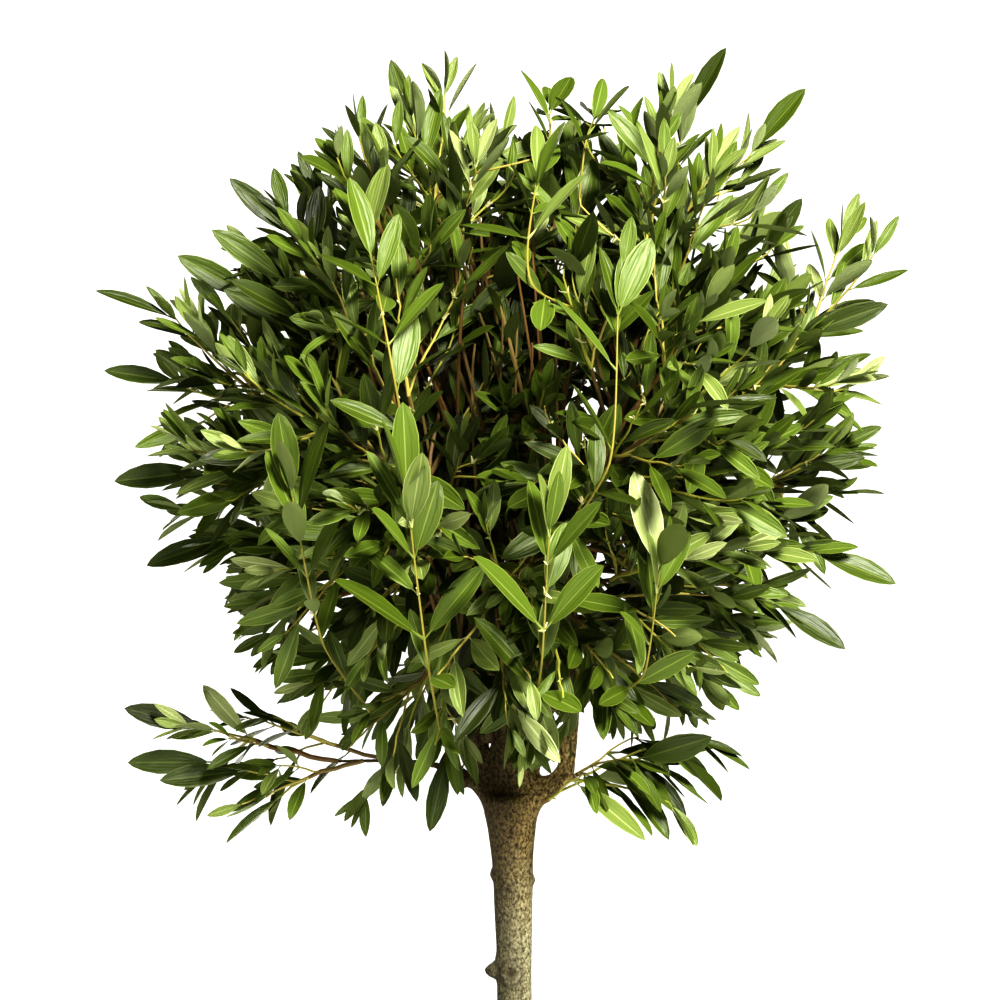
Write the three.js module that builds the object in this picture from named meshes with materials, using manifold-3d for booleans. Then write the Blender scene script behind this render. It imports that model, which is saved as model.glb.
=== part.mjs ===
// An olive tree grown as a standard: one clear stem, a fork, and a round head of foliage.
// Millimetres, +Z up. The ground is at Z = 0 under the middle of the stem, and the front is -Y.

import * as THREE from 'three';
import { mergeVertices } from 'three/addons/utils/BufferGeometryUtils.js';
import Module from 'manifold-3d';

// ---- Driving dimensions ----

const FORK_HEIGHT = 580;            // ground to the crotch where the boughs part
const NECK_HEIGHT = 435;            // the slimmest part of the stem
const STEM_RADIUS_LOW = 16;         // just above the root flare
const STEM_RADIUS_NECK = 12.6;
const STEM_RADIUS_FORK = 15.8;      // the swelling under the fork
const STEM_LEAN = -3;               // how far the fork stands to the left of the foot
const STEM_SWAY = 1.5;
const HEAD_SPREAD = 3.6;            // extra half-width of the fork, left and right
const HEAD_LENGTH = 9;              // height over which the fork widens
const HEAD_DOME = 5;                // height of the rounded top between the boughs
const ROOT_FLARE = 11;              // how far the flare stands out at the ground
const ROOT_FLARE_FADE = 24;         // height over which the flare dies away
const ROOT_LOBES = 4;
const ROOT_LOBE_DEPTH = 0.3;        // share of the flare that comes and goes with the lobes
const STEM_SIDES = 14;
const STEM_ROW_PITCH = 42;
const STEM_ROW_LEAST = 4;

const CROWN_CENTRE = new THREE.Vector3(-4, 0, 842);
const MASS_DISTANCE = 166;          // crown centre to the middle of a mass
const MASS_REACH_OUT = 98;          // a mass's reach away from the crown centre
const MASS_REACH_IN = 84;           // and towards it
const MASS_REACH_SIDE = 122;        // and sideways, before its neighbours stop it
const MASS_LEAST_REACH = 12;
const MASS_GAP = 3;                 // air between two masses
const FINE = 4;                     // how often an icosahedron's edges are divided, for the masses
const COARSE = 3;                   // that shape the outline, and for the rest
const LUMP_HEIGHT = 13;             // broad swellings on a mass
const LUMP_WAVES = 4;
const TIP_HEIGHT = 6;               // the fine unevenness that leaf tips give it
const TIP_WAVES = 5;

const HEART_FLOOR = 600;            // the open heart of the crown, where only boughs run,
const HEART_RADIUS_LOW = 46;        // widens from its floor
const HEART_RADIUS_HIGH = 78;       // to the level of the crown centre, and closes as a dome
const HEART_STEP = 2;
const VIA_HEIGHT = 745;             // where boughs lean out of the heart to their masses
const VIA_INSIDE = 14;              // how far inside the heart's wall they pass there

const LIMB_GAP = 0.4;               // air round a limb where it passes another piece
const SOCKET_DEPTH = 9;             // how far a bough runs into its mass
const BOUGH_SIDES = 6;
const BOUGH_ROWS = 6;
const SIDE_BOUGH_RADII = [2.8, 2];  // foot and tip

const DEGREE = Math.PI / 180;

// Knots, where side shoots were cut away. The turn is 0 to the right and 90 behind.
const KNOTS = [
  { height: 454, turn: 180, stands: 6.5, width: 6.5 },
  { height: 453, turn: -116, stands: 1.6, width: 5 },
  { height: 517, turn: 178, stands: 2.6, width: 6 },
  { height: 513, turn: 2, stands: 2.2, width: 5 },
  { height: 330, turn: 64, stands: 2.4, width: 6 },
  { height: 226, turn: -150, stands: 2.8, width: 7 },
  { height: 122, turn: 25, stands: 2.2, width: 6 },
];

// The masses of the round head. Turn is 0 to the right and 90 behind, lift is the angle above
// the level through the crown centre, and out is how much further, or less far, a mass reaches.
const HEAD_MASSES = [
  { name: 'foliage_top_left', turn: 216, lift: 56, out: -7, detail: FINE },
  { name: 'foliage_top_right', turn: -24, lift: 50, out: 4, detail: FINE },
  { name: 'foliage_top_back', turn: 96, lift: 50, out: -6, detail: COARSE },
  { name: 'foliage_left', turn: 178, lift: 6, out: 2, detail: FINE },
  { name: 'foliage_front_left', turn: 238, lift: 4, out: 2, detail: FINE },
  { name: 'foliage_front_right', turn: -60, lift: 5, out: -2, detail: FINE },
  { name: 'foliage_right', turn: 1, lift: 3, out: 4, detail: FINE },
  { name: 'foliage_back_right', turn: 60, lift: 2, out: 0, detail: COARSE },
  { name: 'foliage_back_left', turn: 120, lift: 1, out: 3, detail: COARSE },
  { name: 'foliage_low_front_left', turn: 240, lift: -50, out: -10, detail: COARSE },
  { name: 'foliage_low_front_right', turn: -50, lift: -48, out: -6, detail: COARSE },
  { name: 'foliage_low_back_right', turn: 44, lift: -47, out: -12, detail: COARSE },
  { name: 'foliage_low_back_left', turn: 130, lift: -48, out: -18, detail: COARSE },
];

// Two masses hang apart from the head, each with its middle, its half-sizes and its slope.
const HANGING_MASSES = [
  { name: 'foliage_low_left_spray', centre: [-187, -18, 605], half: [88, 40, 38], slope: -15 },
  { name: 'foliage_low_right_droop', centre: [98, -50, 602], half: [56, 44, 38], slope: 20 },
];

// The leaf tips that stand out furthest. Each belongs to the mass whose room it lies in.
const FAR_TIPS = [
  [-297, -40, 941],
  [-296, 0, 886],
  [-285, -30, 806],
  [-262, -30, 746],
  [-240, -30, 966],
  [-203, -30, 1021],
  [-88, -40, 1104],
  [148, -50, 1111],
  [206, -30, 1085],
  [264, 10, 998],
  [285, -20, 982],
  [272, -20, 733],
  [232, -54, 688],
  [158, -40, 604],
  [62, -60, 538],
  [-60, -60, 560],
  [-279, -20, 644],
  [-142, -20, 545],
];

// The boughs that part at the fork, thickest first. Each starts inside the fork at `from`,
// passes through `by` and ends in the mass it carries. Radii are foot and tip.
const FORK_BOUGHS = [
  {
    name: 'bough_centre_left',
    from: [-7.5, 0, 572],
    by: [-14, 6, 700],
    radii: [6, 3],
    carries: 'foliage_top_left',
  },
  {
    name: 'bough_centre_right',
    from: [4.4, 0, 572],
    by: [14, -6, 700],
    radii: [5, 2.8],
    carries: 'foliage_top_right',
  },
  {
    name: 'bough_right',
    from: [5, 0, 568],
    by: [38, 2, 602],
    radii: [6.8, 3],
    carries: 'foliage_right',
  },
  {
    name: 'bough_left',
    from: [-11, 1, 570],
    by: [-27, 2, 603],
    radii: [5, 2.6],
    carries: 'foliage_left',
  },
  {
    name: 'bough_back_right',
    from: [2, 8, 570],
    by: [20, 30, 612],
    radii: [5.2, 2.6],
    carries: 'foliage_back_right',
  },
  {
    name: 'bough_back_left',
    from: [-8, 8, 570],
    by: [-24, 32, 610],
    radii: [5, 2.6],
    carries: 'foliage_back_left',
  },
  {
    name: 'bough_low_left',
    from: [-12, -3, 570],
    by: [-45, -6, 599],
    radii: [3.2, 1.8],
    carries: 'foliage_low_left_spray',
  },
  {
    name: 'bough_low_right',
    from: [9, -4, 569],
    by: [36, -18, 594],
    radii: [3, 1.7],
    carries: 'foliage_low_right_droop',
  },
];

// Lesser boughs, which part from a bough above the fork, at the share `along` of its length.
const SIDE_BOUGHS = [
  {
    name: 'bough_top_back',
    parent: 'bough_centre_left',
    along: 0.3,
    by: [-8, 20, 700],
    carries: 'foliage_top_back',
  },
  {
    name: 'bough_front_left',
    parent: 'bough_centre_left',
    along: 0.14,
    by: [-18, -20, 676],
    carries: 'foliage_front_left',
  },
  {
    name: 'bough_front_right',
    parent: 'bough_centre_right',
    along: 0.16,
    by: [14, -22, 684],
    carries: 'foliage_front_right',
  },
  {
    name: 'bough_low_front_left',
    parent: 'bough_left',
    along: 0.16,
    by: [-36, -16, 640],
    carries: 'foliage_low_front_left',
  },
  {
    name: 'bough_low_front_right',
    parent: 'bough_right',
    along: 0.16,
    by: [44, -14, 640],
    carries: 'foliage_low_front_right',
  },
  {
    name: 'bough_low_back_right',
    parent: 'bough_back_right',
    along: 0.2,
    by: [34, 34, 650],
    carries: 'foliage_low_back_right',
  },
  {
    name: 'bough_low_back_left',
    parent: 'bough_back_left',
    along: 0.2,
    by: [-40, 34, 650],
    carries: 'foliage_low_back_left',
  },
];

// ---- Finishes ----

const STEM_FINISH = { color: 0x8b8468, roughness: 0.9, metalness: 0 };
const BOUGH_FINISH = { color: 0x6d5636, roughness: 0.85, metalness: 0 };
const FOLIAGE_FINISH = { color: 0x4f7430, roughness: 0.55, metalness: 0 };

// ---- Solids that can be cut ----

const wasm = await Module();
wasm.setup();

/** A closed geometry as a solid. */
function solidFrom(geometry) {
  const bare = geometry.clone();
  bare.deleteAttribute('normal');
  bare.deleteAttribute('uv');
  const merged = mergeVertices(bare, 1e-4);
  const mesh = new wasm.Mesh({
    numProp: 3,
    vertProperties: new Float32Array(merged.attributes.position.array),
    triVerts: new Uint32Array(merged.index.array),
  });
  return new wasm.Manifold(mesh);
}

/** A solid as a geometry. */
function geometryFrom(solid) {
  const mesh = solid.getMesh();
  const geometry = new THREE.BufferGeometry();
  geometry.setAttribute('position', new THREE.BufferAttribute(mesh.vertProperties, mesh.numProp));
  geometry.setIndex(new THREE.BufferAttribute(mesh.triVerts, 1));
  geometry.computeVertexNormals();
  return geometry;
}

/** Moves every vertex of a geometry to where `place` puts it. */
function reshape(geometry, place) {
  const position = geometry.attributes.position;
  const point = new THREE.Vector3();
  for (let index = 0; index < position.count; index += 1) {
    point.fromBufferAttribute(position, index);
    const moved = place(point);
    position.setXYZ(index, moved.x, moved.y, moved.z);
  }
  return geometry;
}

/** Waves over the directions of a ball, from -1 to 1, different for each seed. */
function waves(direction, seed, count, finest) {
  let sum = 0;
  for (let wave = 1; wave <= count; wave += 1) {
    const turn = seed * 2.4 + wave * 1.9;
    const axis = new THREE.Vector3(Math.cos(turn), Math.sin(turn), Math.cos(turn * 1.7 + seed));
    sum += Math.sin(direction.dot(axis) * finest * (0.5 + wave / count) + turn * 3);
  }
  return sum / Math.sqrt(count);
}

// ---- The stem ----

/** The middle of the stem at a height. */
function stemMiddle(height) {
  const share = height / FORK_HEIGHT;
  const across = STEM_LEAN * share ** 2 - STEM_SWAY * Math.sin(2 * Math.PI * share);
  const back = STEM_SWAY * share * Math.sin(1.5 * Math.PI * share);
  return new THREE.Vector3(across, back, height);
}

/** The stem's half-width at a height and turn: taper, flare, fork and knots. */
function stemRadius(height, turn) {
  const above = THREE.MathUtils.smoothstep(height, NECK_HEIGHT, FORK_HEIGHT);
  const below = THREE.MathUtils.clamp(height / NECK_HEIGHT, 0, 1);
  let radius = THREE.MathUtils.lerp(STEM_RADIUS_LOW, STEM_RADIUS_NECK, below);
  radius += (STEM_RADIUS_FORK - STEM_RADIUS_NECK) * above;
  const lobes = 1 + ROOT_LOBE_DEPTH * Math.cos(ROOT_LOBES * turn + 0.6);
  radius += ROOT_FLARE * lobes * Math.exp(-height / ROOT_FLARE_FADE);
  const spread = Math.exp(-(((FORK_HEIGHT - height) / HEAD_LENGTH) ** 2));
  radius += HEAD_SPREAD * spread * Math.cos(turn) ** 2;
  for (const knot of KNOTS) {
    const apart = turn - knot.turn * DEGREE;
    const round = Math.atan2(Math.sin(apart), Math.cos(apart)) * radius;
    const off = Math.hypot(height - knot.height, round) / knot.width;
    radius += knot.stands * Math.exp(-2 * off ** 2);
  }
  return radius;
}

/** The heights of the stem's rows: close at the flare, the knots and the fork. */
function stemHeights() {
  const wanted = [0, 5, 12, 22, 38, 60];
  const headFoot = FORK_HEIGHT - 2 * HEAD_LENGTH;
  for (let height = 90; height < headFoot; height += STEM_ROW_PITCH) {
    wanted.push(height);
  }
  for (const knot of KNOTS) {
    wanted.push(knot.height - knot.width, knot.height, knot.height + knot.width);
  }
  wanted.push(headFoot, FORK_HEIGHT - HEAD_LENGTH, FORK_HEIGHT);
  wanted.sort((one, other) => one - other);
  return wanted.filter((height, index) => index === 0 || height - wanted[index - 1] > STEM_ROW_LEAST);
}

/** The stem, with `extra` added all round it. */
function stemGeometry(extra) {
  const heights = stemHeights();
  const rows = heights.length - 1;
  const cylinder = new THREE.CylinderGeometry(1, 1, 1, STEM_SIDES, rows);
  return reshape(cylinder, (point) => {
    const height = heights[Math.round((point.y + 0.5) * rows)];
    const turn = Math.atan2(-point.z, point.x);
    const onAxis = Math.hypot(point.x, point.z) < 0.5;
    const width = onAxis ? 0 : stemRadius(height, turn) + extra;
    const moved = stemMiddle(height);
    moved.x += width * Math.cos(turn);
    moved.y += width * Math.sin(turn);
    if (onAxis && height === FORK_HEIGHT) {
      moved.z += HEAD_DOME;
    }
    return moved;
  });
}

// ---- The masses of foliage ----

/** The masses with their middles, their outward directions and their own seeds. */
function placeMasses() {
  const masses = HEAD_MASSES.map(({ name, turn, lift, out, detail }) => {
    const outward = new THREE.Vector3(
      Math.cos(lift * DEGREE) * Math.cos(turn * DEGREE),
      Math.cos(lift * DEGREE) * Math.sin(turn * DEGREE),
      Math.sin(lift * DEGREE),
    );
    const centre = CROWN_CENTRE.clone().addScaledVector(outward, MASS_DISTANCE);
    return { name, centre, outward, out, detail, room: MASS_REACH_SIDE };
  });
  for (const { name, centre, half, slope } of HANGING_MASSES) {
    const middle = new THREE.Vector3(...centre);
    masses.push({ name, centre: middle, half, slope, detail: COARSE, room: half[1] });
  }
  masses.forEach((mass, seed) => {
    mass.seed = seed;
  });
  return masses;
}

/** How far a mass would reach in a direction if it stood alone. */
function ownReach(mass, direction) {
  let reach;
  if (mass.half) {
    const [along, back, up] = mass.half;
    const level = direction.clone().applyAxisAngle(new THREE.Vector3(0, 1, 0), mass.slope * DEGREE);
    reach = 1 / Math.hypot(level.x / along, level.y / back, level.z / up);
  } else {
    const outwards = direction.dot(mass.outward);
    const deep = outwards > 0 ? MASS_REACH_OUT + mass.out : MASS_REACH_IN;
    const sideways = Math.sqrt(Math.max(0, 1 - outwards ** 2));
    reach = 1 / Math.hypot(outwards / deep, sideways / MASS_REACH_SIDE);
  }
  const size = mass.room / MASS_REACH_SIDE;
  reach += LUMP_HEIGHT * size * waves(direction, mass.seed, LUMP_WAVES, 3.5);
  return reach + TIP_HEIGHT * waves(direction, mass.seed + 50, TIP_WAVES, 17);
}

/** How far the flat boundary with a neighbour is, along a direction. */
function boundary(mass, other, direction) {
  const between = other.centre.clone().sub(mass.centre);
  const apart = between.length();
  const towards = direction.dot(between) / apart;
  const share = mass.room / (mass.room + other.room);
  return towards > 1e-6 ? (apart * share - MASS_GAP / 2) / towards : Infinity;
}

/** The radius of the open heart at a height. */
function heartRadius(height) {
  const share = THREE.MathUtils.clamp((height - HEART_FLOOR) / (CROWN_CENTRE.z - HEART_FLOOR), 0, 1);
  return THREE.MathUtils.lerp(HEART_RADIUS_LOW, HEART_RADIUS_HIGH, share);
}

/** True where a point lies in the open heart. */
function isInHeart(point) {
  const above = Math.max(0, point.z - CROWN_CENTRE.z);
  const away = Math.hypot(point.x - CROWN_CENTRE.x, point.y - CROWN_CENTRE.y, above);
  return away < heartRadius(point.z);
}

/** How far a mass reaches in a direction, between its neighbours and outside the heart. */
function massReach(mass, masses, direction) {
  let reach = Math.max(MASS_LEAST_REACH, ownReach(mass, direction));
  for (const other of masses) {
    if (other !== mass) {
      reach = Math.min(reach, boundary(mass, other, direction));
    }
  }
  const point = new THREE.Vector3();
  for (let run = MASS_LEAST_REACH; run < reach; run += HEART_STEP) {
    if (isInHeart(point.copy(mass.centre).addScaledVector(direction, run))) {
      return run;
    }
  }
  return reach;
}

/** True where a point lies in the room that the neighbours leave to a mass. */
function hasRoomFor(mass, masses, point) {
  const towards = point.clone().sub(mass.centre);
  const distance = towards.length();
  towards.normalize();
  return masses.every((other) => other === mass || distance < boundary(mass, other, towards));
}

/** A mass: a ball whose every vertex lies as far out as the mass reaches there. */
function massGeometry(mass, masses) {
  const tips = FAR_TIPS.map((tip) => new THREE.Vector3(...tip)).filter((tip) =>
    hasRoomFor(mass, masses, tip),
  );
  const ball = mergeVertices(new THREE.IcosahedronGeometry(1, mass.detail).deleteAttribute('uv'), 1e-4);
  const position = ball.attributes.position;
  const nearest = tips.map((tip) => {
    const direction = tip.clone().sub(mass.centre).normalize();
    let best = 0;
    let closest = -1;
    for (let index = 0; index < position.count; index += 1) {
      const match = direction.dot(new THREE.Vector3().fromBufferAttribute(position, index));
      if (match > closest) {
        closest = match;
        best = index;
      }
    }
    return best;
  });
  let index = -1;
  return reshape(ball, (point) => {
    index += 1;
    const tip = nearest.indexOf(index);
    if (tip >= 0) {
      return tips[tip];
    }
    const direction = point.clone().normalize();
    return mass.centre.clone().addScaledVector(direction, massReach(mass, masses, direction));
  });
}

// ---- The boughs ----

/** The whole middle line of a bough, foot to the middle of the mass it carries. */
function boughLine(bough, lines, masses) {
  const foot = bough.parent
    ? lines.get(bough.parent).getPointAt(bough.along)
    : new THREE.Vector3(...bough.from);
  const carried = masses.find((mass) => mass.name === bough.carries);
  const stops = [foot, new THREE.Vector3(...bough.by)];
  if (carried.centre.z > VIA_HEIGHT) {
    const level = carried.centre.clone().sub(CROWN_CENTRE).setZ(0).normalize();
    const via = level.multiplyScalar(heartRadius(VIA_HEIGHT) - VIA_INSIDE).add(CROWN_CENTRE);
    stops.push(via.setZ(VIA_HEIGHT));
  }
  stops.push(carried.centre);
  return new THREE.CatmullRomCurve3(stops);
}

/** The share of a bough's line that lies outside its mass, and a socket's depth beyond. */
function boughEnd(line, bough, masses) {
  const carried = masses.find((mass) => mass.name === bough.carries);
  const length = line.getLength();
  for (let run = 0; run < length; run += 1) {
    const towards = line.getPointAt(run / length).sub(carried.centre);
    const distance = towards.length();
    if (distance < massReach(carried, masses, towards.normalize())) {
      return Math.min(1, (run + SOCKET_DEPTH) / length);
    }
  }
  return 1;
}

/** A bough: a closed cylinder laid along its line, tapering, with `extra` all round. */
function boughGeometry(line, end, radii, extra) {
  const stops = [];
  for (let row = 0; row <= BOUGH_ROWS; row += 1) {
    stops.push(line.getPointAt((end * row) / BOUGH_ROWS));
  }
  const part = new THREE.CatmullRomCurve3(stops);
  const frames = part.computeFrenetFrames(BOUGH_ROWS, false);
  const cylinder = new THREE.CylinderGeometry(1, 1, 1, BOUGH_SIDES, BOUGH_ROWS);
  return reshape(cylinder, (point) => {
    const row = Math.round((point.y + 0.5) * BOUGH_ROWS);
    const share = row / BOUGH_ROWS;
    const onAxis = Math.hypot(point.x, point.z) < 0.5;
    const radius = onAxis ? 0 : THREE.MathUtils.lerp(radii[0], radii[1], share) + extra;
    const turn = Math.atan2(-point.z, point.x);
    const middle = part.getPointAt(share);
    if (row === BOUGH_ROWS) {
      middle.addScaledVector(frames.tangents[row], extra);
    }
    return middle
      .addScaledVector(frames.binormals[row], radius * Math.sin(turn))
      .addScaledVector(frames.normals[row], radius * Math.cos(turn));
  });
}

// ---- The tree ----

/** A named piece of the tree. */
function piece(name, solid, finish) {
  const mesh = new THREE.Mesh(geometryFrom(solid), new THREE.MeshStandardMaterial(finish));
  mesh.name = name;
  return mesh;
}

/** The whole tree: stem, then boughs cut where they touch, then masses cut round the boughs. */
function buildTree() {
  const tree = new THREE.Group();
  const masses = placeMasses();
  tree.add(piece('trunk', solidFrom(stemGeometry(0)), STEM_FINISH));

  const taken = [solidFrom(stemGeometry(LIMB_GAP))];
  const lines = new Map();
  for (const bough of [...FORK_BOUGHS, ...SIDE_BOUGHS]) {
    const line = boughLine(bough, lines, masses);
    const end = boughEnd(line, bough, masses);
    const radii = bough.radii ?? SIDE_BOUGH_RADII;
    lines.set(bough.name, line);
    let solid = solidFrom(boughGeometry(line, end, radii, 0));
    for (const other of taken) {
      solid = solid.subtract(other);
    }
    taken.push(solidFrom(boughGeometry(line, end, radii, LIMB_GAP)));
    tree.add(piece(bough.name, solid, BOUGH_FINISH));
  }

  for (const mass of masses) {
    let solid = solidFrom(massGeometry(mass, masses));
    for (const limb of taken) {
      solid = solid.subtract(limb);
    }
    tree.add(piece(mass.name, solid, FOLIAGE_FINISH));
  }
  return tree;
}

export default buildTree();
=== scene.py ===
"""An olive tree grown as a standard: one clear stem, a fork, and a round head of leafy shoots.

The frame holds the stem, the boughs and the masses of foliage as plain solids. One skin with the
relief of olive bark replaces the stem and the boughs. Branches, shoots and leaves grow on from the
bough ends by a seeded rule and replace the masses. Metres, +Z up, front -Y.
"""
import logging
import math
from collections.abc import Callable
from dataclasses import dataclass, field
from enum import Enum

import bmesh
import bpy
import numpy as np
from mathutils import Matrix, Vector, noise


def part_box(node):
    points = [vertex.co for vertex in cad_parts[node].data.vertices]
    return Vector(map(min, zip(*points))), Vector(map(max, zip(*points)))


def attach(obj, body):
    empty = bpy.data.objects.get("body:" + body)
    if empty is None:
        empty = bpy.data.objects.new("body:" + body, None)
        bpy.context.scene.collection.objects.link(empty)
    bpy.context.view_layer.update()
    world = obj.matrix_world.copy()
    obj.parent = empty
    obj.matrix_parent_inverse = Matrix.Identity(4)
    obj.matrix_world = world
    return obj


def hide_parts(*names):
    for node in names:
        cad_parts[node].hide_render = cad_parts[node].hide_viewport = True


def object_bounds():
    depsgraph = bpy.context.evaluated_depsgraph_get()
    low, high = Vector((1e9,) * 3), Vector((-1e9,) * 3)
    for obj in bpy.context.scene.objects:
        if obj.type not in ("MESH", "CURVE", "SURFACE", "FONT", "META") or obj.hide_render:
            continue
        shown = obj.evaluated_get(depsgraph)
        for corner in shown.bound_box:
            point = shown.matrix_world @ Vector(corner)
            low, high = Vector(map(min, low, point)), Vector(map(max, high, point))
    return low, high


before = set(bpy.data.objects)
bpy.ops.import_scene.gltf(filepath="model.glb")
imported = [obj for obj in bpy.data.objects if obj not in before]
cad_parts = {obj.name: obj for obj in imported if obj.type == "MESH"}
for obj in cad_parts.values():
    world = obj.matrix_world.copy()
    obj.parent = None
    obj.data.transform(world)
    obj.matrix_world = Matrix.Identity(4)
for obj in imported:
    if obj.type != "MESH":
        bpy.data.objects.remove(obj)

CAD_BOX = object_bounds()
MM = 0.001
SEED = 11
BODY = "root"
BAKE_MAP = "OFBake"
UP = np.array([0.0, 0.0, 1.0])
LIGHT_WAY = np.array([0.35, -0.75, 0.55])       # where the brightest light comes from
STEM = "trunk"
BOUGH_MARK = "bough_"
MASS_MARK = "foliage_"
STEM_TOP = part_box(STEM)[1].z
FORK_TOP = STEM_TOP + 34 * MM   # under this height no leaf grows
FORK_CLEAR = 40 * MM            # that is this near to the stem's middle line
MAP_EDGE = 0.02                 # how far a map keeps from its border
TINY = 1e-6                     # stands in for nought where a size may not be nought
BEND_PULL = 0.6                 # how strongly a bend keeps to the directions of its ends
WAVE_BANDS = 3.18               # bands that a wave texture of scale 1 draws in one unit
SHARE, FIRST, SECOND, MIXED = 0, 6, 7, 2        # a colour mix's sockets

logging.basicConfig(level=logging.INFO, format="%(message)s")
log = logging.getLogger("olive")


@dataclass(frozen=True)
class Habit:
    """How a mass of foliage that hangs apart from the head grows."""

    leaf_size: float                # against a leaf of the head
    pull: float                     # how its shoots turn, up above nought
    sag: float                      # how far its leaves hang
    spacing: float                  # between its shoots' ends


HANGING = {
    "foliage_low_left_spray": Habit(0.9, -0.15, 0.3, 31 * MM),
    "foliage_low_right_droop": Habit(1.32, -0.6, 0.75, 36 * MM),
}


class Slot(Enum):
    """The record's material slots."""

    STEM = "stem_bark"
    BOUGH = "bough_bark"
    TWIG = "twig_bark"
    FOLIAGE = "foliage"


# ---- Vectors ----

def unit(vectors: np.ndarray) -> np.ndarray:
    """Brings vectors to length one.

    Args:
        vectors: One vector, or rows of them.

    Returns:
        The same directions with length one.
    """
    return vectors / np.maximum(np.linalg.norm(vectors, axis=-1, keepdims=True), 1e-12)


def curve_between(
    start: np.ndarray, leave: np.ndarray, end: np.ndarray, arrive: np.ndarray, pitch: float
) -> np.ndarray:
    """Lays points along one smooth bend.

    Args:
        start: Where the bend starts.
        leave: The direction in which it leaves.
        end: Where it ends.
        arrive: The direction in which it arrives.
        pitch: About how far apart the points are.

    Returns:
        The points, one in a row.
    """
    span = float(np.linalg.norm(end - start))
    count = max(4, math.ceil(span / pitch) + 1)
    t = np.linspace(0, 1, count)[:, None]
    pull = BEND_PULL * span
    return (
        (2 * t**3 - 3 * t**2 + 1) * start
        + (t**3 - 2 * t**2 + t) * pull * leave
        + (3 * t**2 - 2 * t**3) * end
        + (t**3 - t**2) * pull * arrive
    )


def lengths_along(points: np.ndarray) -> np.ndarray:
    """Gives how far along a line each of its points is."""
    steps = np.linalg.norm(np.diff(points, axis=0), axis=1)
    return np.concatenate([[0.0], np.cumsum(steps)])


def tangents_along(points: np.ndarray) -> np.ndarray:
    """Gives the direction of a line at each of its points."""
    return unit(np.gradient(points, axis=0))


# ---- Nodes and materials ----

def linear(colour: str) -> tuple[float, float, float, float]:
    """Turns an sRGB hex value into linear light.

    Args:
        colour: Six hex digits after a hash sign.

    Returns:
        Red, green, blue and alpha.
    """
    channels = [int(colour[i : i + 2], 16) / 255 for i in (1, 3, 5)]
    light = [c / 12.92 if c <= 0.04045 else ((c + 0.055) / 1.055) ** 2.4 for c in channels]
    return (*light, 1.0)


def add_node(
    tree: bpy.types.NodeTree, kind: str, settings: dict | None = None, links: dict | None = None
) -> bpy.types.Node:
    """Adds one node with its settings and links.

    Args:
        tree: The node tree.
        kind: The node's type name.
        settings: Values by attribute name, or by input name or number.
        links: Output sockets by input name or number.

    Returns:
        The node.
    """
    node = tree.nodes.new(kind)
    for name, value in (settings or {}).items():
        if isinstance(name, str) and hasattr(node, name):
            setattr(node, name, value)
        else:
            node.inputs[name].default_value = value
    for name, socket in (links or {}).items():
        tree.links.new(socket, node.inputs[name])
    return node


def ramp(node: bpy.types.Node, stops: list[tuple[float, str]]) -> None:
    """Sets a colour ramp's stops.

    Args:
        node: The ramp.
        stops: Place and sRGB hex value of each stop.
    """
    elements = node.color_ramp.elements
    while len(elements) < len(stops):
        elements.new(0.5)
    for element, (place, colour) in zip(elements, stops):
        element.position = place
        element.color = linear(colour)


def new_material(name: str) -> tuple[bpy.types.Material, bpy.types.NodeTree, bpy.types.Node]:
    """Makes a material with an empty Principled shader.

    Args:
        name: The material's name.

    Returns:
        The material, its node tree and its shader node.
    """
    material = bpy.data.materials.new(name)
    material.use_nodes = True
    tree = material.node_tree
    tree.nodes.clear()
    shader = add_node(tree, "ShaderNodeBsdfPrincipled")
    add_node(tree, "ShaderNodeOutputMaterial", links={"Surface": shader.outputs["BSDF"]})
    return material, tree, shader


@dataclass(frozen=True)
class BladeFinish:
    """Olive leaf: a leathery blade under a thin wax film, with streaks along it.

    The wax gives the upper side a broad, soft shine. The lower side is felted with fine scales,
    so it looks pale and matt.
    """

    name: str
    colour: str
    roughness: float
    specular: float
    relief: float
    streaks: float = 9.0            # across a blade; real veins are finer, drawn coarser to show
    drawn: float = 8.0              # how many times longer than wide a streak is

    def material(self) -> bpy.types.Material:
        """Builds the material, whose relief follows the blade's own map.

        Returns:
            The material.
        """
        material, tree, shader = new_material(self.name)
        shader.inputs["Base Color"].default_value = linear(self.colour)
        shader.inputs["Roughness"].default_value = self.roughness
        shader.inputs["Specular IOR Level"].default_value = self.specular
        place = add_node(tree, "ShaderNodeUVMap", {"uv_map": BAKE_MAP})
        drawn_out = add_node(
            tree,
            "ShaderNodeMapping",
            {"Scale": (self.streaks, self.streaks / self.drawn, 1.0)},
            {"Vector": place.outputs["UV"]},
        )
        veins = add_node(
            tree,
            "ShaderNodeTexNoise",
            {"Scale": 1.0, "Detail": 3.0},
            {"Vector": drawn_out.outputs["Vector"]},
        )
        bump = add_node(
            tree,
            "ShaderNodeBump",
            {"Strength": 1.0, "Distance": self.relief},
            {"Height": veins.outputs["Fac"]},
        )
        tree.links.new(bump.outputs["Normal"], shader.inputs["Normal"])
        return material


@dataclass(frozen=True)
class LeafTone:
    """One olive leaf's three colours: upper side, midrib with margin, and lower side.

    Sprays deep in the crown are deep green, partly as older leaves and partly as painted shade, and those
    at the outside are clearer, partly as painted light, with pale young tips.
    """

    name: str
    upper: str
    rib: str
    lower: str

    def materials(self) -> list[bpy.types.Material]:
        """Builds the tone's materials.

        Returns:
            The upper, rib and lower material, in the order of BladePart.
        """
        name = f"leaf_{self.name}"
        parts = (
            BladeFinish(f"{name}_upper", self.upper, roughness=0.46, specular=0.42, relief=2.4 * MM),
            BladeFinish(f"{name}_rib", self.rib, roughness=0.5, specular=0.4, relief=0.4 * MM),
            BladeFinish(f"{name}_lower", self.lower, roughness=0.75, specular=0.25, relief=1.6 * MM),
        )
        return [part.material() for part in parts]


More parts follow.
